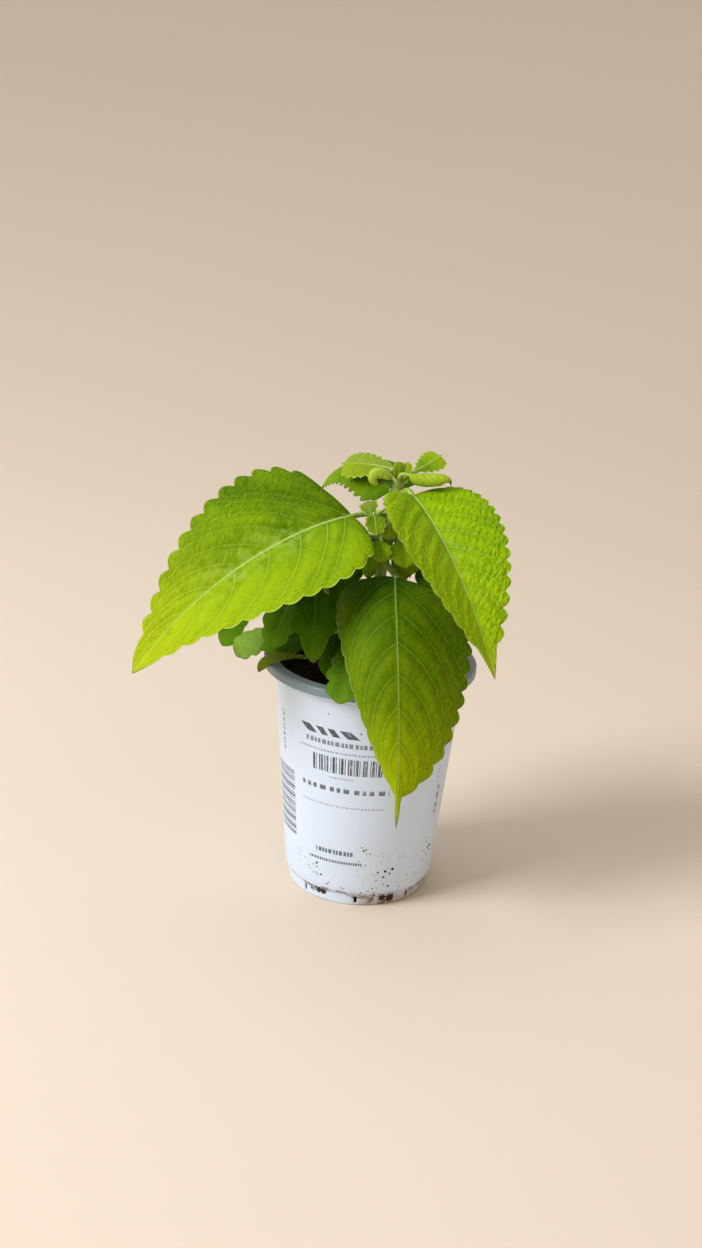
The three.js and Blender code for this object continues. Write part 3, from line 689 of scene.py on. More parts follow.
# The loose surface: the waves of the solid under it, with three sizes of value noise on top
def soilHeight(x, y):
    at = np.stack([x, y, np.zeros_like(x)], -1)
    sizes = ((0.55, 0.35, 3), (0.4, 0.8, 4), (0.25, 1.9, 5))  # height, scale and seed
    rough = sum(height * latticeNoise(at * scale, seed) for height, scale, seed in sizes)
    edge = np.clip((bodyRadius(soil["level"]) - pot["wall"] - np.hypot(x, y)) / 3, 0, 1)
    return soil["level"] + soilRise(x, y) + rough * edge


# Rings up the inside of the wall, a little clear of it, and then over the surface to the middle
def makeSoil():
    level, inset = soil["level"], pot["wall"] + soil["clearance"]
    edge = bodyRadius(level) - inset
    turn = np.linspace(0, tau, soil["sides"], endpoint=False)
    share = np.linspace(1, 0.03, soil["rings"])[:, None]
    x, y = edge * share * np.cos(turn), edge * share * np.sin(turn)
    top = np.stack([x, y, soilHeight(x, y)], -1)
    sideRows = [
        (pot["footRadius"] - inset, inset),
        (pot["footRadius"] + pot["footTaper"] - inset, pot["footHeight"] - pot["stepFall"]),
        (pot["bodyFootRadius"] - inset, pot["footHeight"] + soil["clearance"]),
        (bodyRadius(level - soil["sideTop"]) - inset, level - soil["sideTop"]),
    ]
    lower = np.array([[(r * math.cos(t), r * math.sin(t), h) for t in turn] for r, h in sideRows])
    pieces = Pieces()
    pieces.addRings(np.vstack([lower, top]), [[0, 0, inset], [0, 0, level]])
    addCrumbs(pieces, edge)
    finishPiece(pieces, "soil", [soilMaterial()])


# Crumbs: small lumps, each an eight-sided ball with its corners pushed in at random
def addCrumbs(pieces, edge):
    generator = np.random.default_rng(11)
    count = soil["crumbs"]
    radius = (edge - 2) * np.sqrt(generator.uniform(0.01, 1, count))
    turn = generator.uniform(0, tau, count)
    x, y = radius * np.cos(turn), radius * np.sin(turn)
    size = generator.uniform(*soil["crumbSize"], (count, 1, 1))
    middle = np.stack([x, y, soilHeight(x, y)], -1)[:, None]
    ball = np.array([[1, 0, 0], [0, 1, 0], [-1, 0, 0], [0, -1, 0], [0, 0, 1], [0, 0, -1]], float)
    corners = middle + ball * size * generator.uniform(0.5, 1.0, (count, 6, 1)) * [1, 1, 0.7]
    faces = np.array([[0, 1, 4], [1, 2, 4], [2, 3, 4], [3, 0, 4], [1, 0, 5], [2, 1, 5], [3, 2, 5], [0, 3, 5]])
    triangles = 6 * np.arange(count)[:, None, None] + faces
    pieces.add(corners.reshape(-1, 3), [], triangles.reshape(-1, 3))


soilLook = {"dark": color(16, 11, 8), "light": color(58, 42, 30), "fibre": color(120, 104, 84)}


# A product of two noises mixes the browns, and where the finer one is highest it is pale.
def soilMaterial():
    shader = Shader("pottingSoil", soilLook)
    place = shader.place()
    grain = shader.noise(place, 500, 5, 0.7)
    lumps = shader.noise(place, 130, 3)
    shader.ground(lumps * grain * 1.6, "dark", "light")
    shader.paint(grain.step(0.66, 0.74) * 0.5, "fibre")
    return shader.finish(0.92, shader.bump(grain, 0.7, 0.001), {"Specular IOR Level": 0.2})


# Stem

stem = {
    "foot": 94.0,
    "top": 216.0,
    "footRadius": 3.3,
    "topRadius": 2.5,
    "swelling": 0.5,
    "nodes": (124, 147, 175, 197, 208),
    "nodeSpread": 2.6,
    "square": 0.07,
    "leanOut": 8.8,
    "leanPower": 2.2,
    "bow": 1.5,
    "sides": 40,
    "rows": 170,
    "hairs": 2600,
    "hairLength": 0.8,
    "hairRadius": 0.05,
}


# The stem leans out by a power of its share of the way up, and bows forward by half a sine wave.
def stemMiddle(height):
    height = np.asarray(height, float)
    share = np.clip((height - soil["level"]) / (stem["top"] - soil["level"]), 0, 1)
    sideways = stem["leanOut"] * share ** stem["leanPower"]
    return np.stack([sideways, -stem["bow"] * np.sin(math.pi * share), height], -1)


# An even taper, with a bell curve of swelling at each node
def stemRadius(height):
    share = (height - stem["foot"]) / (stem["top"] - stem["foot"])
    plain = stem["footRadius"] + (stem["topRadius"] - stem["footRadius"]) * share
    bells = sum(np.exp(-(((height - node) / stem["nodeSpread"]) ** 2)) for node in stem["nodes"])
    return plain + stem["swelling"] * bells


# Rings round the stem's middle line, a little square by a cosine of four times the turn
def makeStem():
    generator = np.random.default_rng(5)
    heights = np.linspace(stem["foot"], stem["top"] - 0.8, stem["rows"])
    turn = np.linspace(0, tau, stem["sides"], endpoint=False)
    square = 1 + stem["square"] * np.cos(4 * turn)
    radius = stemRadius(heights)[:, None] * square
    ring = np.stack([radius * np.cos(turn), radius * np.sin(turn), np.zeros_like(radius)], -1)
    rings = stemMiddle(heights)[:, None] + ring
    points = rings.reshape(-1, 3)
    pieces = Pieces()
    pieces.addRings(rings, [stemMiddle(stem["foot"]), stemMiddle(stem["top"])], 1)
    chosen = generator.integers(0, len(points), stem["hairs"])
    chosen = chosen[points[chosen, 2] > soil["level"] + 2]
    outward = unit(ring.reshape(-1, 3)[chosen])
    addHairs(pieces, points[chosen], outward, stem["hairLength"], stem["hairRadius"], 1, generator)
    for leaf in budLeaves:
        addBlade(pieces, leaf)
    finishPiece(pieces, "stem", [leafMaterial("budLeaves", youngLook), stalkMaterial])


stalkLook = {
    "deep": color(120, 150, 40),
    "light": color(176, 196, 84),
    "streak": color(206, 218, 150),
    "low": color(70, 92, 20),
    "gloss": {"Sheen Weight": 0.15, "Sheen Roughness": 0.4, "Specular IOR Level": 0.25},
}


# Noise mixes the greens, a noise drawn out along the height streaks them, and the low part is deeper.
def makeStalkMaterial():
    shader = Shader("stemGreen", stalkLook)
    place = shader.place()
    x, y, z = shader.axes(place)
    streaks = shader.noise(shader.vector(x, y, z * 0.12), 900, 3)
    patches = shader.noise(place, 70, 2)
    shader.ground(patches, "deep", "light")
    shader.paint(streaks.step(0.45, 0.75) * 0.6, "streak")
    shader.paint((1 - (z * 1000).step(118, 160)) * 0.6, "low")
    normal = shader.bump(streaks, 0.25, 0.0004)
    return shader.finish(0.5 + patches * 0.15, normal, stalkLook["gloss"])


# Leaf shape. Of a pair, heading, pitch and roll hold the values at the base and the tip, tone how olive and
# how scorched at its tip a leaf is, and all others those of the left and the right half. One number in a
# leaf's plan stands for an equal pair. heading and pitch are the rib's direction in degrees, and ease says
# how early it turns. roll turns the blade about the rib. fold lifts each half at the rib and droop bends it
# down again. rise and fall shape the outline, share scales each half and lobe draws its margin back at the
# base. drip is how much of the length is only the narrow tip, tipSpan how much its quarter sine takes, and
# dripWidth its width next to the blade's. toothSpread under 1 starts the teeth small and close together.
plainLeaf = {
    "heading": (0, 0),
    "pitch": (0, 0),
    "roll": (0, 0),
    "ease": 1,
    "fold": (15, 15),
    "droop": (20, 20),
    "rise": (0.45, 0.45),
    "fall": (0.8, 0.8),
    "share": (1, 1),
    "lobe": (0, 0),
    "drip": 0.06,
    "tipSpan": 0.06,
    "dripWidth": 0.12,
    "teeth": 4,
    "toothEnd": 0.94,
    "toothSpread": 1,
    "toothDepth": (1.1, 1.1),
    "stalk": 0.75,
    "rows": 72,
    "columns": 21,
    "veins": ((6, 0.05, 0.8), (6, 0.1, 0.85)),  # how many side veins each half has, the first and the last
    "veinGather": (1, 1),  # over 1 they start close together
    "veinLean": (0.2, 0.2),
    "veinCurl": (0.15, 0.15),
    "bulge": 0.25,  # height of the blade's swellings between its veins
    "pucker": (0.05, 0.05),  # height of the small wrinkles on each half
    "wrinkle": 3.4,  # their spacing
    "waver": 0.3,
    "middle": 0.5,  # the blade's thickness at its rib
    "pale": (0, 0),
    "tone": (0, 0),
}
toothStart = 0.03
toothLean, toothBluntness, toothNotch, toothGrowth = 1.35, 0.7, 0.6, 1.8
leastHalfWidth = 0.12
ribSteps = 400
rowGather = 0.55  # how much closer together a blade's rows lie at its base
marginThinning = 0.45
ribFade, marginFade = 2.2, 1.2  # how far from them the relief rises, in millimetres
veinFade = 0.028  # the same beside a side vein, as a share of the leaf's length
waverCell, waverDepth = 7, 12
wrinkleStretch, wrinkleWarp, wrinklePower = 1.4, 0.35, 0.7
pathRows, ribRows, stalkSides = 22, 60, 12
ribTip = 0.12
veinTurn = math.radians(50)
stalkLead, stalkUnder = 0.4, 0.3


# A leaf's whole plan: the plain leaf's values under its own
def wholeLeaf(given):
    leaf = {**plainLeaf, **given}
    for key, plain in plainLeaf.items():
        if isinstance(plain, tuple) and not isinstance(leaf[key], tuple):
            leaf[key] = (leaf[key], leaf[key])
    return leaf


# The first value plus a share of the way to the second
def blend(pair, share):
    return pair[0] + (pair[1] - pair[0]) * share


# The rib's direction from its heading and pitch, and the blade's sideways and upward directions at right
# angles to it, turned by the roll
def leafFrame(leaf, along):
    eased = along ** leaf["ease"]
    heading, pitch = (np.radians(blend(leaf[key], eased)) for key in ("heading", "pitch"))
    roll = np.radians(blend(leaf["roll"], along))
    level = np.cos(pitch)
    forward = np.stack([level * np.cos(heading), level * np.sin(heading), np.sin(pitch)], -1)
    flat = np.stack([-np.sin(heading), np.cos(heading), 0 * heading], -1)
    above = np.cross(forward, flat)
    cosine, sine = np.cos(roll)[..., None], np.sin(roll)[..., None]
    return forward, cosine * flat + sine * above, cosine * above - sine * flat


# The rib is its direction added up along its length.
def leafRib(leaf, along):
    steps = np.linspace(0, 1, ribSteps + 1)
    forward = leafFrame(leaf, steps)[0]
    half = leaf["length"] / (2 * ribSteps)
    summed = np.vstack([[0, 0, 0], np.cumsum((forward[1:] + forward[:-1]) * half, axis=0)]) + leaf["base"]
    return np.stack([np.interp(along, steps, summed[:, axis]) for axis in range(3)], -1)


# The outline: a power of the way from the base times a power of the way to the tip, scaled to 1 at its
# widest, joined by a cubic mean to the quarter sine of the narrow tip.
def halfWidth(leaf, along, half):
    rise, fall = leaf["rise"][half], leaf["fall"][half]
    widest = rise / (rise + fall)
    way = np.minimum(along / (1 - leaf["drip"]), 1)
    blade = (way / widest) ** rise * ((1 - way) / (1 - widest)) ** fall
    tip = leaf["dripWidth"] * np.sin(math.pi / 2 * np.minimum((1 - along) / leaf["tipSpan"], 1)) * along**2
    return leaf["halfWidth"] * leaf["share"][half] * np.cbrt(blade**3 + tip**3)


# Teeth: a sine of the way through each tooth, where one power leans it forward and another rounds its crest
def toothOffset(leaf, along, width, half):
    depth = leaf["toothDepth"][half]
    way = np.maximum(0, (along - toothStart) / (leaf["toothEnd"] - toothStart))
    phase = leaf["teeth"] * way ** leaf["toothSpread"]
    inside = (phase > 0) & (phase < leaf["teeth"])
    growth = 1 - toothGrowth * (1 - leaf["toothSpread"]) * (1 - np.minimum(way, 1))
    size = depth * growth * np.minimum(1, width / (3 * depth))
    crest = np.sin(math.pi * (phase - np.floor(phase)) ** toothLean) ** toothBluntness
    rise = np.where(inside, crest, 0)
    start = np.where(inside, 1, np.minimum(1, along / toothStart))
    return size * (rise - toothNotch * start)


# The blade's middle surface, with the millimetre measures that its colours and its relief follow.
# overVeins and alongVeins are the blade's own axes, turned to run across and along its side veins.
def bladeSurface(leaf, along, across):
    along, across = along[:, None], across[None, :]
    reachShare = np.abs(across)
    forward, side, normal = leafFrame(leaf, along[:, 0])
    rib = leafRib(leaf, along[:, 0])
    sine, cosine = math.sin(veinTurn), math.cos(veinTurn)
    halves = []
    for half, sign in ((0, 1), (1, -1)):
        smooth = np.maximum(halfWidth(leaf, along, half), leastHalfWidth)
        toothed = np.maximum(smooth + toothOffset(leaf, along, smooth, half), leastHalfWidth)
        reach = reachShare * (1 + (toothed / smooth - 1) * reachShare**2)
        fold = math.radians(leaf["fold"][half])
        droop = math.radians(max(leaf["droop"][half], 0.01))
        outward = smooth * (np.sin(fold) - np.sin(fold - droop * reach)) / droop
        lift = smooth * (np.cos(fold - droop * reach) - np.cos(fold)) / droop
        back = -leaf["lobe"][half] * (1 - along) ** 3 * reachShare**2
        spread = leaf["veinLean"][half] * reachShare + leaf["veinCurl"][half] * reachShare**2
        slope = (leaf["veinLean"][half] + 2 * leaf["veinCurl"][half] * reachShare) * leaf["length"] / smooth
        count, first, last = leaf["veins"][half]
        starts = first + (last - first) * np.linspace(0, 1, count) ** leaf["veinGather"][half]
        sideVein = np.min([np.abs(along - spread - start) for start in starts], axis=0)
        sideVein = sideVein * leaf["length"] / np.sqrt(1 + slope**2)
        parts = [sign * outward, lift, back, reach * smooth, toothed, sideVein]
        halves.append(np.stack(np.broadcast_arrays(*parts)))
    outward, lift, back, ribMm, toothed, sideVein = np.where(across >= 0, *halves)
    points = rib[:, None] + side[:, None] * outward[..., None] + normal[:, None] * lift[..., None]
    points = points + forward[:, None] * back[..., None]
    pucker = np.where(across >= 0, leaf["pucker"][0], leaf["pucker"][1])
    marginMm = toothed - ribMm
    alongMm = along * leaf["length"]
    overVeins = alongMm * sine - ribMm * cosine
    alongVeins = alongMm * cosine + ribMm * sine
    signed = np.sign(across) * ribMm
    relief = bladeRelief(leaf, along, signed, sideVein, overVeins, alongVeins, pucker, marginMm)
    return points, relief, (signed, sideVein, marginMm), (overVeins, alongVeins)


# Relief: 1 less a bell curve about each vein, value noise, and wrinkles as the product of two sines, all of
# them faded at the rib, the margin, the base and the tip
def bladeRelief(leaf, along, signed, sideVein, overVeins, alongVeins, pucker, marginMm):
    seed = int(abs(leaf["base"][0]) * 7 + abs(leaf["base"][2]) * 3)
    fade = (1 - np.exp(-((signed / ribFade) ** 2))) * (1 - np.exp(-np.maximum(marginMm, 0) / marginFade))
    tipFade = np.clip((1 - along) * 6, 0, 1) * np.clip(along * 14, 0, 1)
    swell = 1 - np.exp(-((sideVein / (veinFade * leaf["length"])) ** 2))
    at = np.stack([overVeins / waverCell, alongVeins / waverCell, signed / waverDepth + seed], -1)
    waver = latticeNoise(at * 0.6, seed)
    over = overVeins / (leaf["wrinkle"] * wrinkleStretch) + wrinkleWarp * latticeNoise(at, seed + 1)
    cross = alongVeins / leaf["wrinkle"] + wrinkleWarp * latticeNoise(at * wrinkleStretch, seed + 2)
    wrinkle = (np.abs(np.sin(math.pi * over)) * np.abs(np.sin(math.pi * cross))) ** wrinklePower
    height = leaf["bulge"] * swell * fade + leaf["waver"] * waver * fade + pucker * wrinkle * fade
    return height * tipFade


# A blade as a closed thin body: the middle surface moved out both ways, and the two joined at the edge
def addBlade(pieces, given, material=0):
    leaf = wholeLeaf(given)
    rows, columns = leaf["rows"], leaf["columns"]
    t = np.linspace(0, 1, rows)
    along = t - rowGather * np.sin(tau * t) / tau * (1 - t) ** 2
    across = np.linspace(1, -1, columns)
    points, relief, lines, places = bladeSurface(leaf, along, across)
    normals = unit(np.cross(np.gradient(points, axis=0), -np.gradient(points, axis=1)))
    points = points + normals * relief[..., None]
    normals = unit(np.cross(np.gradient(points, axis=0), -np.gradient(points, axis=1)))
    thick = leaf["middle"] * (1 - marginThinning * np.abs(across))[None, :, None] * np.ones((rows, 1, 1))
    both = np.stack([points + normals * thick / 2, points - normals * thick / 2])
    top = gridQuads(rows, columns)
    under = rows * columns
    i = np.arange(rows - 1)
    j = np.arange(columns - 1)

    def strip(a, b):
        return np.stack([a, b, b + under, a + under], -1)

    edges = [
        strip((i + 1) * columns, i * columns),
        strip(i * columns + columns - 1, (i + 1) * columns + columns - 1),
        strip(j, j + 1),
        strip((rows - 1) * columns + j + 1, (rows - 1) * columns + j),
    ]
    quads = np.vstack([top[:, ::-1], top + under, *[edge[:, ::-1] for edge in edges]])
    shares = np.stack([along[:, None] + 0 * lines[0], across[None, :] + 0 * lines[0]], -1)
    pale = np.where(across >= 0, leaf["pale"][0], leaf["pale"][1])[None, :, None] * np.ones((rows, 1, 1))
    tone = np.concatenate([pale, np.broadcast_to(leaf["tone"], (rows, columns, 2))], -1)
    attributes = {
        "lines": np.stack([np.stack(lines, -1)] * 2),
        "blade": np.stack([np.stack([*places, relief], -1)] * 2),
        "shares": np.stack([np.dstack([shares, np.full((rows, columns), flag)]) for flag in (1.0, 0.0)]),
        "tone": np.stack([tone, tone]),
    }
    pieces.add(both, quads, [], material, attributes)


# A stalk from where the leaf grows, which runs on under the blade as its midrib and thins out there
def addStalk(pieces, given, root, material=1):
    leaf = wholeLeaf(given)
    forward, _, normal = (vector[0] for vector in leafFrame(leaf, np.array([0.0])))
    base = np.array(leaf["base"], float)
    lead = base - forward * stalkLead * np.linalg.norm(base - root)
    path = curveThrough([root, lead, base - normal * stalkUnder], np.linspace(0, 1, pathRows))
    along = np.linspace(0.02, 0.9, ribRows)
    thin = leaf["stalk"] * (1 - along) ** 1.3 * 0.8 + ribTip
    under = leafRib(leaf, along) - leafFrame(leaf, along)[2] * (thin - ribTip)[:, None]
    radii = np.concatenate([np.linspace(leaf["stalk"] * 1.15, leaf["stalk"] * 0.85, pathRows), thin])
    addRod(pieces, np.vstack([path, under]), radii, stalkSides, material)


# A leaf of the main stem: its blade, and its stalk from the stem's middle at its node
def makeLeaf(node, leaf):
    pieces = Pieces()
    addBlade(pieces, leaf)
    addStalk(pieces, leaf, stemMiddle(leaf["node"]))
    finishPiece(pieces, node, [leafMaterial(node, leaf["look"]), stalkMaterial])


shootRows, shootSides, shootTaper = 40, 14, (1.05, 0.9)


# A shoot: a rod along its route, with its leaves' stalks from their places on it
def makeShoot(node, plan):
    pieces = Pieces()
    path = curveThrough(plan["route"], np.linspace(0, 1, shootRows))
    radii = np.linspace(*(plan["radius"] * share for share in shootTaper), shootRows)
    addRod(pieces, path, radii, shootSides, 1)
    for leaf in plan["leaves"]:
        addBlade(pieces, leaf)
        addStalk(pieces, leaf, curveThrough(plan["route"], [leaf["place"]])[0])
    finishPiece(pieces, node, [leafMaterial(node, plan["look"]), stalkMaterial])


# Leaf colours: deep and light are mixed by where on the blade a point lies. start is the share of light at
# the base, alongGain and sideGain what it gains to the tip and to the left, and the tip colour comes in from
# warmFrom on. The gains are partly the leaves' own colour and partly painted light and shade: painted shade
# towards the base under the leaves above, and one half painted lighter than the other for how the lamps fall
# on it.
leafLook = {
    "deep": color(78, 114, 0),
    "light": color(136, 168, 0),
    "tip": color(172, 184, 0),
    "vein": color(162, 188, 50),
    "rib": color(178, 200, 116),
    "margin": color(188, 204, 90),
    "under": color(110, 138, 30),
    "pale": color(146, 176, 74),
    "olive": color(112, 116, 22),
    "scorch": color(74, 48, 22),
    "start": 0.26,
    "alongGain": 0.7,
    "sideGain": 0.45,
    "warmFrom": 0.4,
    "veinStrength": 0.42,
    "veinWidth": 1.0,
    "ribShare": 0.8,  # width of the light line on the rib, next to that of the veins
    "netStrength": 0.26,
    "besideVein": 0.14,  # strength of the painted shadow beside a vein, in the deep green
    "frost": 0.6,  # strength of the pale down along the rib
    "cell": (6.0, 3.2),  # millimetres across and along the side veins of a cell of the vein net
    "quilt": 0.25,  # height of the puckers inside it
}
# Its sideGain below 0 lightens the half that the lamps light less: painted light.
rightLook = dict(leafLook, deep=color(104, 144, 0), light=color(146, 182, 0), tip=color(160, 180, 8),
    warmFrom=0.7, start=0.45, sideGain=-0.45, frost=0.35, veinStrength=0.3, besideVein=0.2,
    cell=(3.8, 2.6), quilt=0.45)
# The front leaf: its own darker olive green, with painted shade towards its base under the leaves above it
# and a tip colour that is partly a painted highlight.
frontLook = dict(leafLook, deep=color(46, 88, 0), light=color(100, 126, 0), tip=color(190, 206, 0),
    vein=color(126, 154, 26), rib=color(142, 168, 84), margin=color(164, 182, 90), start=0.1,
    alongGain=1.2, sideGain=-0.06, frost=0, besideVein=0.2, warmFrom=0.44,
    ribShare=0.5, netStrength=0.16, quilt=0.22)
shadedLook = dict(leafLook, deep=color(38, 78, 0), light=color(72, 112, 0), tip=color(90, 132, 4),
    vein=color(84, 118, 24), rib=color(92, 126, 44), margin=color(100, 134, 40), under=color(54, 80, 18),
    veinStrength=0.25, veinWidth=0.55, netStrength=0.1, sideGain=0, besideVein=0, frost=0, cell=(4, 2.4),
    quilt=0.15)
# The back leaves: the shaded look a little lighter, painted shade for leaves that lie behind and under the
# top.
shadedBackLook = dict(shadedLook, deep=color(66, 100, 0), light=color(104, 140, 4), tip=color(118, 150, 8),
    vein=color(130, 162, 40))
# The side shoots' leaves: the shaded look painted much brighter, painted light to make up for the shade of
# the leaves round them.
litSideLook = dict(shadedLook, deep=color(112, 156, 6), light=color(150, 188, 14), tip=color(156, 192, 20),
    vein=color(164, 200, 60), under=color(120, 156, 30))
youngLook = dict(leafLook, deep=color(88, 124, 4), light=color(132, 164, 10), tip=color(150, 176, 18),
    under=color(136, 168, 60), sideGain=0, besideVein=0, frost=0, veinWidth=0.5, cell=(2.6, 1.8),
    quilt=0.2)
curledLook = dict(youngLook, deep=color(132, 156, 10), light=color(176, 196, 24))


leafGloss = {"Specular IOR Level": 0.12, "Specular Tint": (0.8, 1.0, 0.4, 1)}


# The blade's colour goes by its shares of the way along and across, by noise and by the relief, partly as
# painted light and shade. Over it come the net of veins, the painted shadow beside the side veins, the side
# veins and the rib by their distance in millimetres, the margin, partly a painted highlight, the tip, partly
# painted light, and the underside.
def leafMaterial(name, look):
    shader = Shader(name + "Green", look)
    paint = shader.paint
    signed, sideMm, marginMm = shader.attribute("lines")
    overVeins, alongVeins, relief = shader.attribute("blade")
    along, across, top = shader.attribute("shares")
    pale, olive, scorch = shader.attribute("tone")
    reach, ribMm = across.most(across * -1), signed.most(signed * -1)
    flat = shader.vector(overVeins, alongVeins, signed * 0.5)
    cellOver, cellAlong = look["cell"]
    warp = shader.add("ShaderNodeTexNoise", {}, {"Vector": flat, "Scale": 0.4, "Detail": 2.0}, "Color")
    ladder = shader.vector(overVeins / cellOver, alongVeins / cellAlong, signed * 0.06)
    bent = shader.add("ShaderNodeVectorMath", {"operation": "ADD"}, [ladder, warp])
    cell = shader.cells(bent, 1.0)
    smallCell = shader.cells(bent, 2.6)
    patches = shader.noise(flat, 0.05, 3)
    mottle = shader.noise(flat, 0.22, 5, 0.6)
    fine = shader.noise(flat, 1.6, 3)
    net = (1 - cell.step(0.01, 0.08)) * (0.3 + along)
    share = along * look["alongGain"] + across * look["sideGain"]
    share = share + (patches - 0.5) * 1.5 + (mottle - 0.5) * 0.9
    # The relief lightens the crests and darkens the hollows: partly the puckers' own tone and partly painted
    # light and painted shade.
    shader.ground(share + relief * 0.3 + look["start"], "deep", "light")
    # The tip colour: partly the leaf's own yellowing and partly painted light shining through the thin tip.
    paint(along.step(look["warmFrom"], 1.1) * (0.3 + mottle), "tip")
    paint(pale * (0.4 + mottle * 0.9), "pale")
    paint(olive, "olive")
    frost = (1 - ribMm.step(2, 16)) * along.band(0.2, 0.6, 0.12) * mottle.step(0.46, 0.62)
    paint(frost * look["frost"], "pale")
    paint(net * look["netStrength"], "vein")
    veinWidth = look["veinWidth"]
    vein = (1 - sideMm.step(0.1 * veinWidth, 0.65 * veinWidth)) * (1 - reach.step(0.7, 1.0) * 0.8)
    # Beside each side vein the deep green is painted in: painted shadow of the sunken vein.
    beside = sideMm.step(0.3, 0.8) * (1 - sideMm.step(0.8, 3.0))
    paint(beside * look["besideVein"], "deep")
    paint(vein * look["veinStrength"], "vein")
    ribWidth = (1.0 - along * 0.7) * veinWidth * look["ribShare"]
    ribMask = (1 - ribMm.step(ribWidth * 0.4, ribWidth * 1.3)) * (0.95 - along * 0.45)
    paint(ribMask, "rib")
    # The pale margin: partly the hairy edge's own paler green and partly a painted highlight where light
    # catches the edge.
    edge = 1 - marginMm.step(0.15, 0.8)
    paint(edge * 0.65, "margin")
    burnt = along.step(0.86, 0.97) * scorch + edge * along.step(0.9, 1.0) * 0.6
    paint(burnt, "scorch")
    paint((1 - top) * 0.75, "under")
    dome = (cell.step(0.0, 0.34) + smallCell.step(0.0, 0.3) * 0.2) * (0.3 + reach * 0.7)
    calm = ribMm.step(0.3, 2.0)
    height = (dome * look["quilt"] + mottle * 0.3 + fine * 0.1) * calm - vein * look["veinStrength"] * 0.5
    return shader.finish(0.5 + mottle * 0.16, shader.bump(height, 1.0, 0.001), leafGloss)


# Leaves that grow from the main stem, at the height of their node

bigLeaf = dict(teeth=13, toothDepth=3.2, stalk=1.5, bulge=0.7, rows=320, columns=77)
middleLeaf = dict(teeth=9, toothDepth=2.6, stalk=1.3, bulge=0.5, rows=170, columns=45)
youngLeaf = dict(rows=110, columns=31)

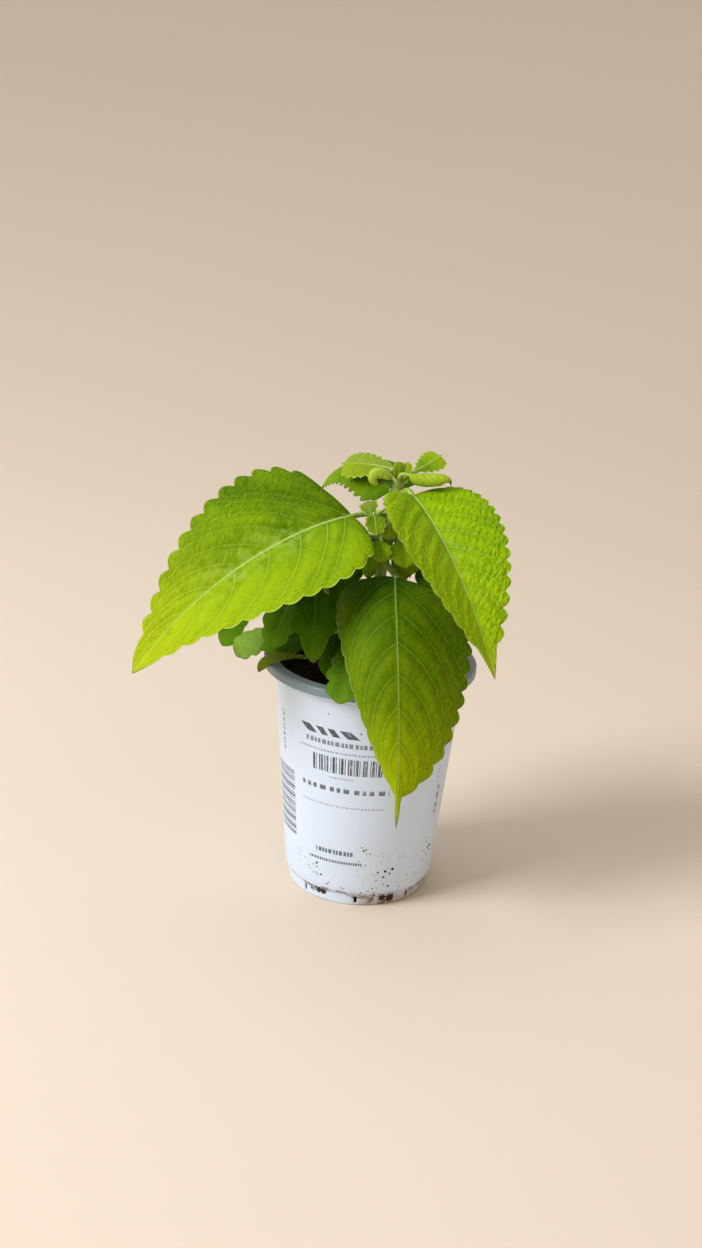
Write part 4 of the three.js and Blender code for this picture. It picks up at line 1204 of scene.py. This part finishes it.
stemLeaves = {
    "leaf_left": dict(bigLeaf, look=leafLook, slot="leaf_bright", node=199, base=(-13.3, -4.6, 197.2),
        length=137.3, halfWidth=39.4, heading=(221.1, 196.2), pitch=(0.2, -56.5), roll=(-28, -33),
        ease=0.79, fold=15.7, droop=11.7, rise=(0.4, 0.42), fall=(1.02, 1.12), share=(1, 1.02),
        lobe=(0.4, -5), drip=0.02, tipSpan=0.12, dripWidth=0.28, teeth=12, toothEnd=0.87,
        toothDepth=(2.2, 3.5), veins=((7, 0.03, 0.8), (9, 0.01, 0.85)), veinGather=(1.25, 1.3),
        veinLean=(0.12, 0.25), veinCurl=(0.16, 0.18), pucker=0.1),
    "leaf_right": dict(bigLeaf, look=rightLook, slot="leaf_bright", node=208, base=(15.5, -7.6, 210.1),
        length=105.4, halfWidth=31.05, heading=(-58.8, -57.8), pitch=(-16, -55), ease=0.64, fold=19.4,
        droop=2.3, rise=0.42, fall=(1.15, 1.08), drip=0.02, tipSpan=0.12, dripWidth=0.14, teeth=15,
        toothEnd=0.85, toothSpread=0.7, toothDepth=(3.6, 2.0), veins=((9, 0.04, 0.87), (9, 0.03, 0.87)),
        veinLean=(0.1, 0.18), veinCurl=(0.1, 0.15), pucker=(0.55, 0.3)),
    "leaf_front": dict(bigLeaf, look=frontLook, slot="leaf_shaded", node=175, base=(9.5, -24.7, 173.3),
        length=128.6, halfWidth=35.9, heading=(-94, -75.5), pitch=(16, -88), roll=(-9, 7), ease=0.363,
        fold=0.7, droop=(28, 65), rise=(0.22, 0.2), fall=(0.55, 0.79), share=(1.1, 0.87), lobe=9.3,
        drip=0.12, tipSpan=0.12, dripWidth=0.06, toothEnd=0.9, toothDepth=(3.4, 1.3),
        veins=((7, 0.06, 0.8), (8, 0.02, 0.8)), veinGather=(1, 1.15), veinLean=(0.2, 0.12),
        veinCurl=(0.25, 0.22), pucker=0.14),
    "leaf_back_left": dict(middleLeaf, look=shadedBackLook, slot="leaf_shaded", node=207,
        base=(5.2, 4.5, 208.8), length=62, halfWidth=24, heading=(124, 152), pitch=(26, -72), ease=1.5,
        fold=(-30, 5), droop=15, rise=(0.16, 0.35), fall=(0.45, 0.8), share=(0.64, 1)),
    "leaf_back_right": dict(middleLeaf, look=shadedBackLook, slot="leaf_bright", node=197, base=(12, 5, 198),
        length=60, halfWidth=21, heading=(28, 36), pitch=(-8, -60), ease=0.8, fold=12, droop=15, rise=0.4,
        fall=1, teeth=8, toothDepth=2.2),
    "leaf_back": dict(middleLeaf, look=shadedBackLook, slot="leaf_shaded", node=176, base=(2, 12, 180),
        length=82, halfWidth=25, heading=(102, 116), pitch=(5, -65), ease=0.8, fold=12, rise=0.4,
        fall=0.9),
    "young_leaf_back_left": dict(youngLeaf, look=youngLook, slot="leaf_young", node=211,
        base=(5.3, 5.5, 219.4), length=30, halfWidth=9, heading=150, pitch=(3, -12), fold=(-35, 32),
        droop=10, rise=0.8, fall=0.26, teeth=7, toothDepth=1.4, stalk=1, pale=(0.1, 0.7), tone=(0.4, 0)),
    "young_leaf_back_right": dict(youngLeaf, look=youngLook, slot="leaf_young", node=209.8,
        base=(15.2, 4.5, 219), length=20, halfWidth=6.6, heading=44, pitch=(12, 24), fold=(28, -25),
        droop=10, rise=1, fall=0.28, teeth=6, toothDepth=1.2, stalk=1),
    "curled_leaf_left": dict(youngLeaf, look=curledLook, slot="leaf_young", node=211,
        base=(5.6, -4.6, 217.6), length=23.5, halfWidth=4.6, heading=188, pitch=(50, -235),
        roll=(-30, -40), ease=1.6, fold=0, droop=80, rise=0.3, fall=0.4, teeth=5, toothDepth=0.5, stalk=1,
        pale=0.4, tone=(0, 1)),
    "curled_leaf_right": dict(youngLeaf, look=curledLook, slot="leaf_young", node=211,
        base=(13.6, -4.4, 219.6), length=23.5, halfWidth=9, heading=-14, pitch=(8, -125), ease=6, fold=10,
        droop=170, rise=0.3, fall=0.4, teeth=5, toothDepth=0.6, stalk=1, pale=0.3, tone=(0, 1)),
}

# The two small upright leaves at the growing tip, side by side
budLeaf = dict(length=11, halfWidth=3, fold=14, rise=0.3, fall=0.2, teeth=2, toothDepth=0.5)
budLeaves = [
    dict(budLeaf, base=(8.4, -1.6, 214.2), heading=(120, 100), pitch=(74, 88)),
    dict(budLeaf, base=(10.6, -1.6, 214.2), heading=(50, 70), pitch=(62, 84)),
]

# Shoots. place is how far along its shoot a leaf grows.
tinyLeaf = dict(teeth=3, toothDepth=0.8, stalk=0.6, rows=64)
lowLeaf = dict(drip=0.01, tipSpan=0.01, teeth=3, toothDepth=1.8, stalk=0.9)
youngShoot = dict(look=youngLook, slot="leaf_young")
sideShoot = dict(look=litSideLook, slot="leaf_shaded")
lowShoot = dict(look=shadedLook, slot="leaf_shaded")
shoots = {
    "side_shoot_left": dict(
        youngShoot, radius=1.1, route=((4, 0, 190), (0, -5, 196), (-2, -10, 199.5)), leaves=[
            dict(tinyLeaf, place=1, base=(-4, -9.5, 199.6), length=7, halfWidth=4.8, heading=170,
                pitch=(75, 65), roll=-95, fold=10, rise=0.7, fall=0.2, pale=0.5, tone=(0, 0.8)),
            dict(tinyLeaf, place=0.95, base=(-2.6, -12.15, 200.3), length=11.2, halfWidth=5, heading=-77,
                pitch=(-40, -60), fall=0.5),
            dict(tinyLeaf, place=0.8, base=(3.4, -5.5, 199.8), length=13, halfWidth=8, heading=-69,
                pitch=(-53, -73), fall=0.6),
        ]),
    "side_shoot_front": dict(
        sideShoot, radius=1.1, route=((4, 0, 177), (3, -5, 183), (3, -9, 188)), leaves=[
            dict(tinyLeaf, place=0.7, base=(-2.7, -8, 182.2), length=15.9, halfWidth=5, heading=-99,
                pitch=(-57, -77), fall=0.7),
            dict(tinyLeaf, place=1, base=(1.6, -14.3, 187.6), length=11, halfWidth=5, heading=-83,
                pitch=(-48, -68), fall=0.5),
            dict(tinyLeaf, place=0.9, base=(10.5, -9, 186.1), length=14, halfWidth=8.5, heading=-60,
                pitch=(-42, -62), fall=0.6),
        ]),
    "side_shoot_right": dict(
        sideShoot, radius=1.1, route=((5, 0, 184), (10, 3, 189), (15, 5, 193)), leaves=[
            dict(tinyLeaf, place=1, base=(17.5, 3.5, 192), length=27, halfWidth=8, heading=(-95, -90),
                pitch=(-45, -80), rise=0.4, fall=0.6),
            dict(tinyLeaf, place=0.6, base=(12.5, 6, 186), length=27, halfWidth=8, heading=(-100, -95),
                pitch=(-50, -85), rise=0.4, fall=0.6, share=(1, 0.5)),
        ]),
    "low_shoot_left": dict(
        lowShoot, radius=1.3, route=((0, 0, 126), (-12, 4, 132), (-26, 8, 141), (-34, 9, 152)), leaves=[
            dict(lowLeaf, place=0.95, base=(-63.4, 14.5, 139.6), length=26, halfWidth=6.5, heading=176,
                pitch=(-48, -68), roll=(-50, -70), fall=0.45, toothDepth=0.8),
            dict(lowLeaf, place=0.6, base=(-40.5, 4, 130), length=30.7, halfWidth=12.5, heading=196,
                pitch=(-8, -28), roll=(-10, -15), rise=0.4, fall=0.22, share=(0.65, 1), teeth=5, toothDepth=2,
                pale=0.55, tone=(0, 0.3)),
            dict(lowLeaf, place=1, base=(-40.8, -6, 152.3), length=26.6, halfWidth=9.5, heading=223,
                pitch=(-51, -76), roll=(-15, -20), fall=0.6),
        ]),
    "low_shoot_front_left": dict(
        lowShoot, radius=1.4, route=((0, -1, 130), (-8, -7, 141), (-17, -12, 152), (-24, -14, 162)), leaves=[
            dict(lowLeaf, place=1, base=(-28.6, -18, 162.6), length=38.5, halfWidth=10, heading=-87,
                pitch=(-32, -72), rise=0.5, fall=0.6, teeth=2, toothEnd=0.66, toothDepth=4.4),
            dict(lowLeaf, place=0.35, base=(-26, -4, 134), length=31, halfWidth=9, heading=188,
                pitch=(-8, -22), roll=-30, fall=0.6),
            dict(lowLeaf, place=0.2, base=(-31.2, -20, 128.2), length=28, halfWidth=3.8, heading=(178, 190),
                pitch=(-3, -85), roll=(18, -50), ease=3, fold=5, droop=10, rise=0.3, fall=0.4, toothDepth=0.5,
                tone=(0.75, 0.2)),
            dict(lowLeaf, place=0.6, base=(-14.5, -3.5, 176), length=34, halfWidth=10.5, heading=(-108, -100),
                pitch=(-42, -84), fall=0.9),
        ]),
    "low_shoot_front": dict(
        lowShoot, radius=1.2, route=((1, -1, 124), (-3, -12, 131), (-9, -22, 138)), leaves=[
            dict(lowLeaf, place=1, base=(-9, -30.5, 139.8), length=36, halfWidth=8, heading=-98,
                pitch=(-8, -63), rise=0.5, fall=0.3, teeth=4, toothDepth=2.6, pale=0.1),
            dict(lowLeaf, place=0.8, base=(-11, -18, 140), length=27, halfWidth=8.5, heading=(-120, -112),
                pitch=(-20, -60), roll=(-10, -20), fall=0.6),
        ]),
    "low_shoot_right": dict(
        lowShoot, radius=1.4, route=((1, 0, 128), (12, 3, 138), (22, 4, 152), (27, 3, 170)), leaves=[
            dict(lowLeaf, place=1, base=(31.5, 2, 178), length=31, halfWidth=10, heading=-100,
                pitch=(-28, -58)),
            dict(lowLeaf, place=0.8, base=(36, 8, 158), length=28, halfWidth=10, heading=-5, pitch=(0, -55)),
            dict(lowLeaf, place=0.7, base=(26, 13, 152), length=34, halfWidth=12, heading=62, pitch=(0, -50)),
            dict(lowLeaf, place=0.4, base=(24, -4, 140), length=24, halfWidth=9, heading=-35, pitch=(0, -50)),
        ]),
    "low_shoot_back": dict(
        lowShoot, radius=1.3, route=((0, 1, 124), (2, 12, 134), (4, 24, 147)), leaves=[
            dict(lowLeaf, place=1, base=(4, 30, 150), length=40, halfWidth=14, heading=82, pitch=(0, -55),
                teeth=4),
            dict(lowLeaf, place=0.7, base=(-6, 24, 140), length=34, halfWidth=11, heading=140,
                pitch=(0, -45)),
            dict(lowLeaf, place=0.7, base=(14, 24, 142), length=32, halfWidth=11, heading=30, pitch=(0, -45)),
        ]),
    "low_shoot_back_left": dict(
        lowShoot, radius=1.2, route=((0, 1, 134), (-9, 12, 142), (-20, 22, 151)), leaves=[
            dict(lowLeaf, place=1, base=(-24, 26, 152), length=34, halfWidth=11, heading=130, pitch=(0, -50)),
            dict(lowLeaf, place=0.7, base=(-22, 18, 141), length=22, halfWidth=9, heading=175,
                pitch=(0, -45)),
        ]),
}

# Floor and backdrop: a wide round sweep, level in the middle and curving up to a wall

sweep = {"floorRadius": 0.8, "bend": 3.0, "wallTop": 3.6, "sides": 96}
sweepLook = {"pale": color(228, 213, 194), "dull": color(222, 204, 184)}


# Rings of the level floor, then of a quarter circle up to the wall
def makeStage():
    turn = np.linspace(0, tau, sweep["sides"], endpoint=False)
    bend = np.linspace(0, math.pi / 2, 24)
    radius = np.concatenate([[0.02, 0.3, 0.6], sweep["floorRadius"] + sweep["bend"] * np.sin(bend)])
    radius = np.append(radius, sweep["floorRadius"] + sweep["bend"])
    height = np.concatenate([[0, 0, 0], sweep["bend"] * (1 - np.cos(bend)), [sweep["wallTop"]]])
    x, y = radius[:, None] * np.cos(turn), radius[:, None] * np.sin(turn)
    points = np.stack([x, y, np.repeat(height[:, None], len(turn), axis=1)], -1) / mm
    j = np.arange(sweep["sides"])
    middle = len(radius) * sweep["sides"]
    fan = np.stack([np.full(len(j), middle), j, (j + 1) % len(j)], -1)
    pieces = Pieces()
    quads = gridQuads(len(radius), sweep["sides"], True)[:, ::-1]
    pieces.add(np.vstack([points.reshape(-1, 3), [[0, 0, 0]]]), quads, fan)
    shader = Shader("paleSweep", sweepLook)
    paper = shader.noise(shader.place(), 3, 2)
    shader.ground(paper * 0.15, "pale", "dull")
    floor = pieces.make("floor", [shader.finish(0.85)])


addCamera(view)
addLights(lights)
print("camera and lights placed")
makeStage()
print("floor and backdrop made")
makePot()
print("pot made")
makeSoil()
print("soil made")
stalkMaterial = makeStalkMaterial()
makeStem()
print("stem made")
for node, leaf in stemLeaves.items():
    makeLeaf(node, leaf)
print("leaves made")
for node, plan in shoots.items():
    makeShoot(node, plan)
print("shoots made")
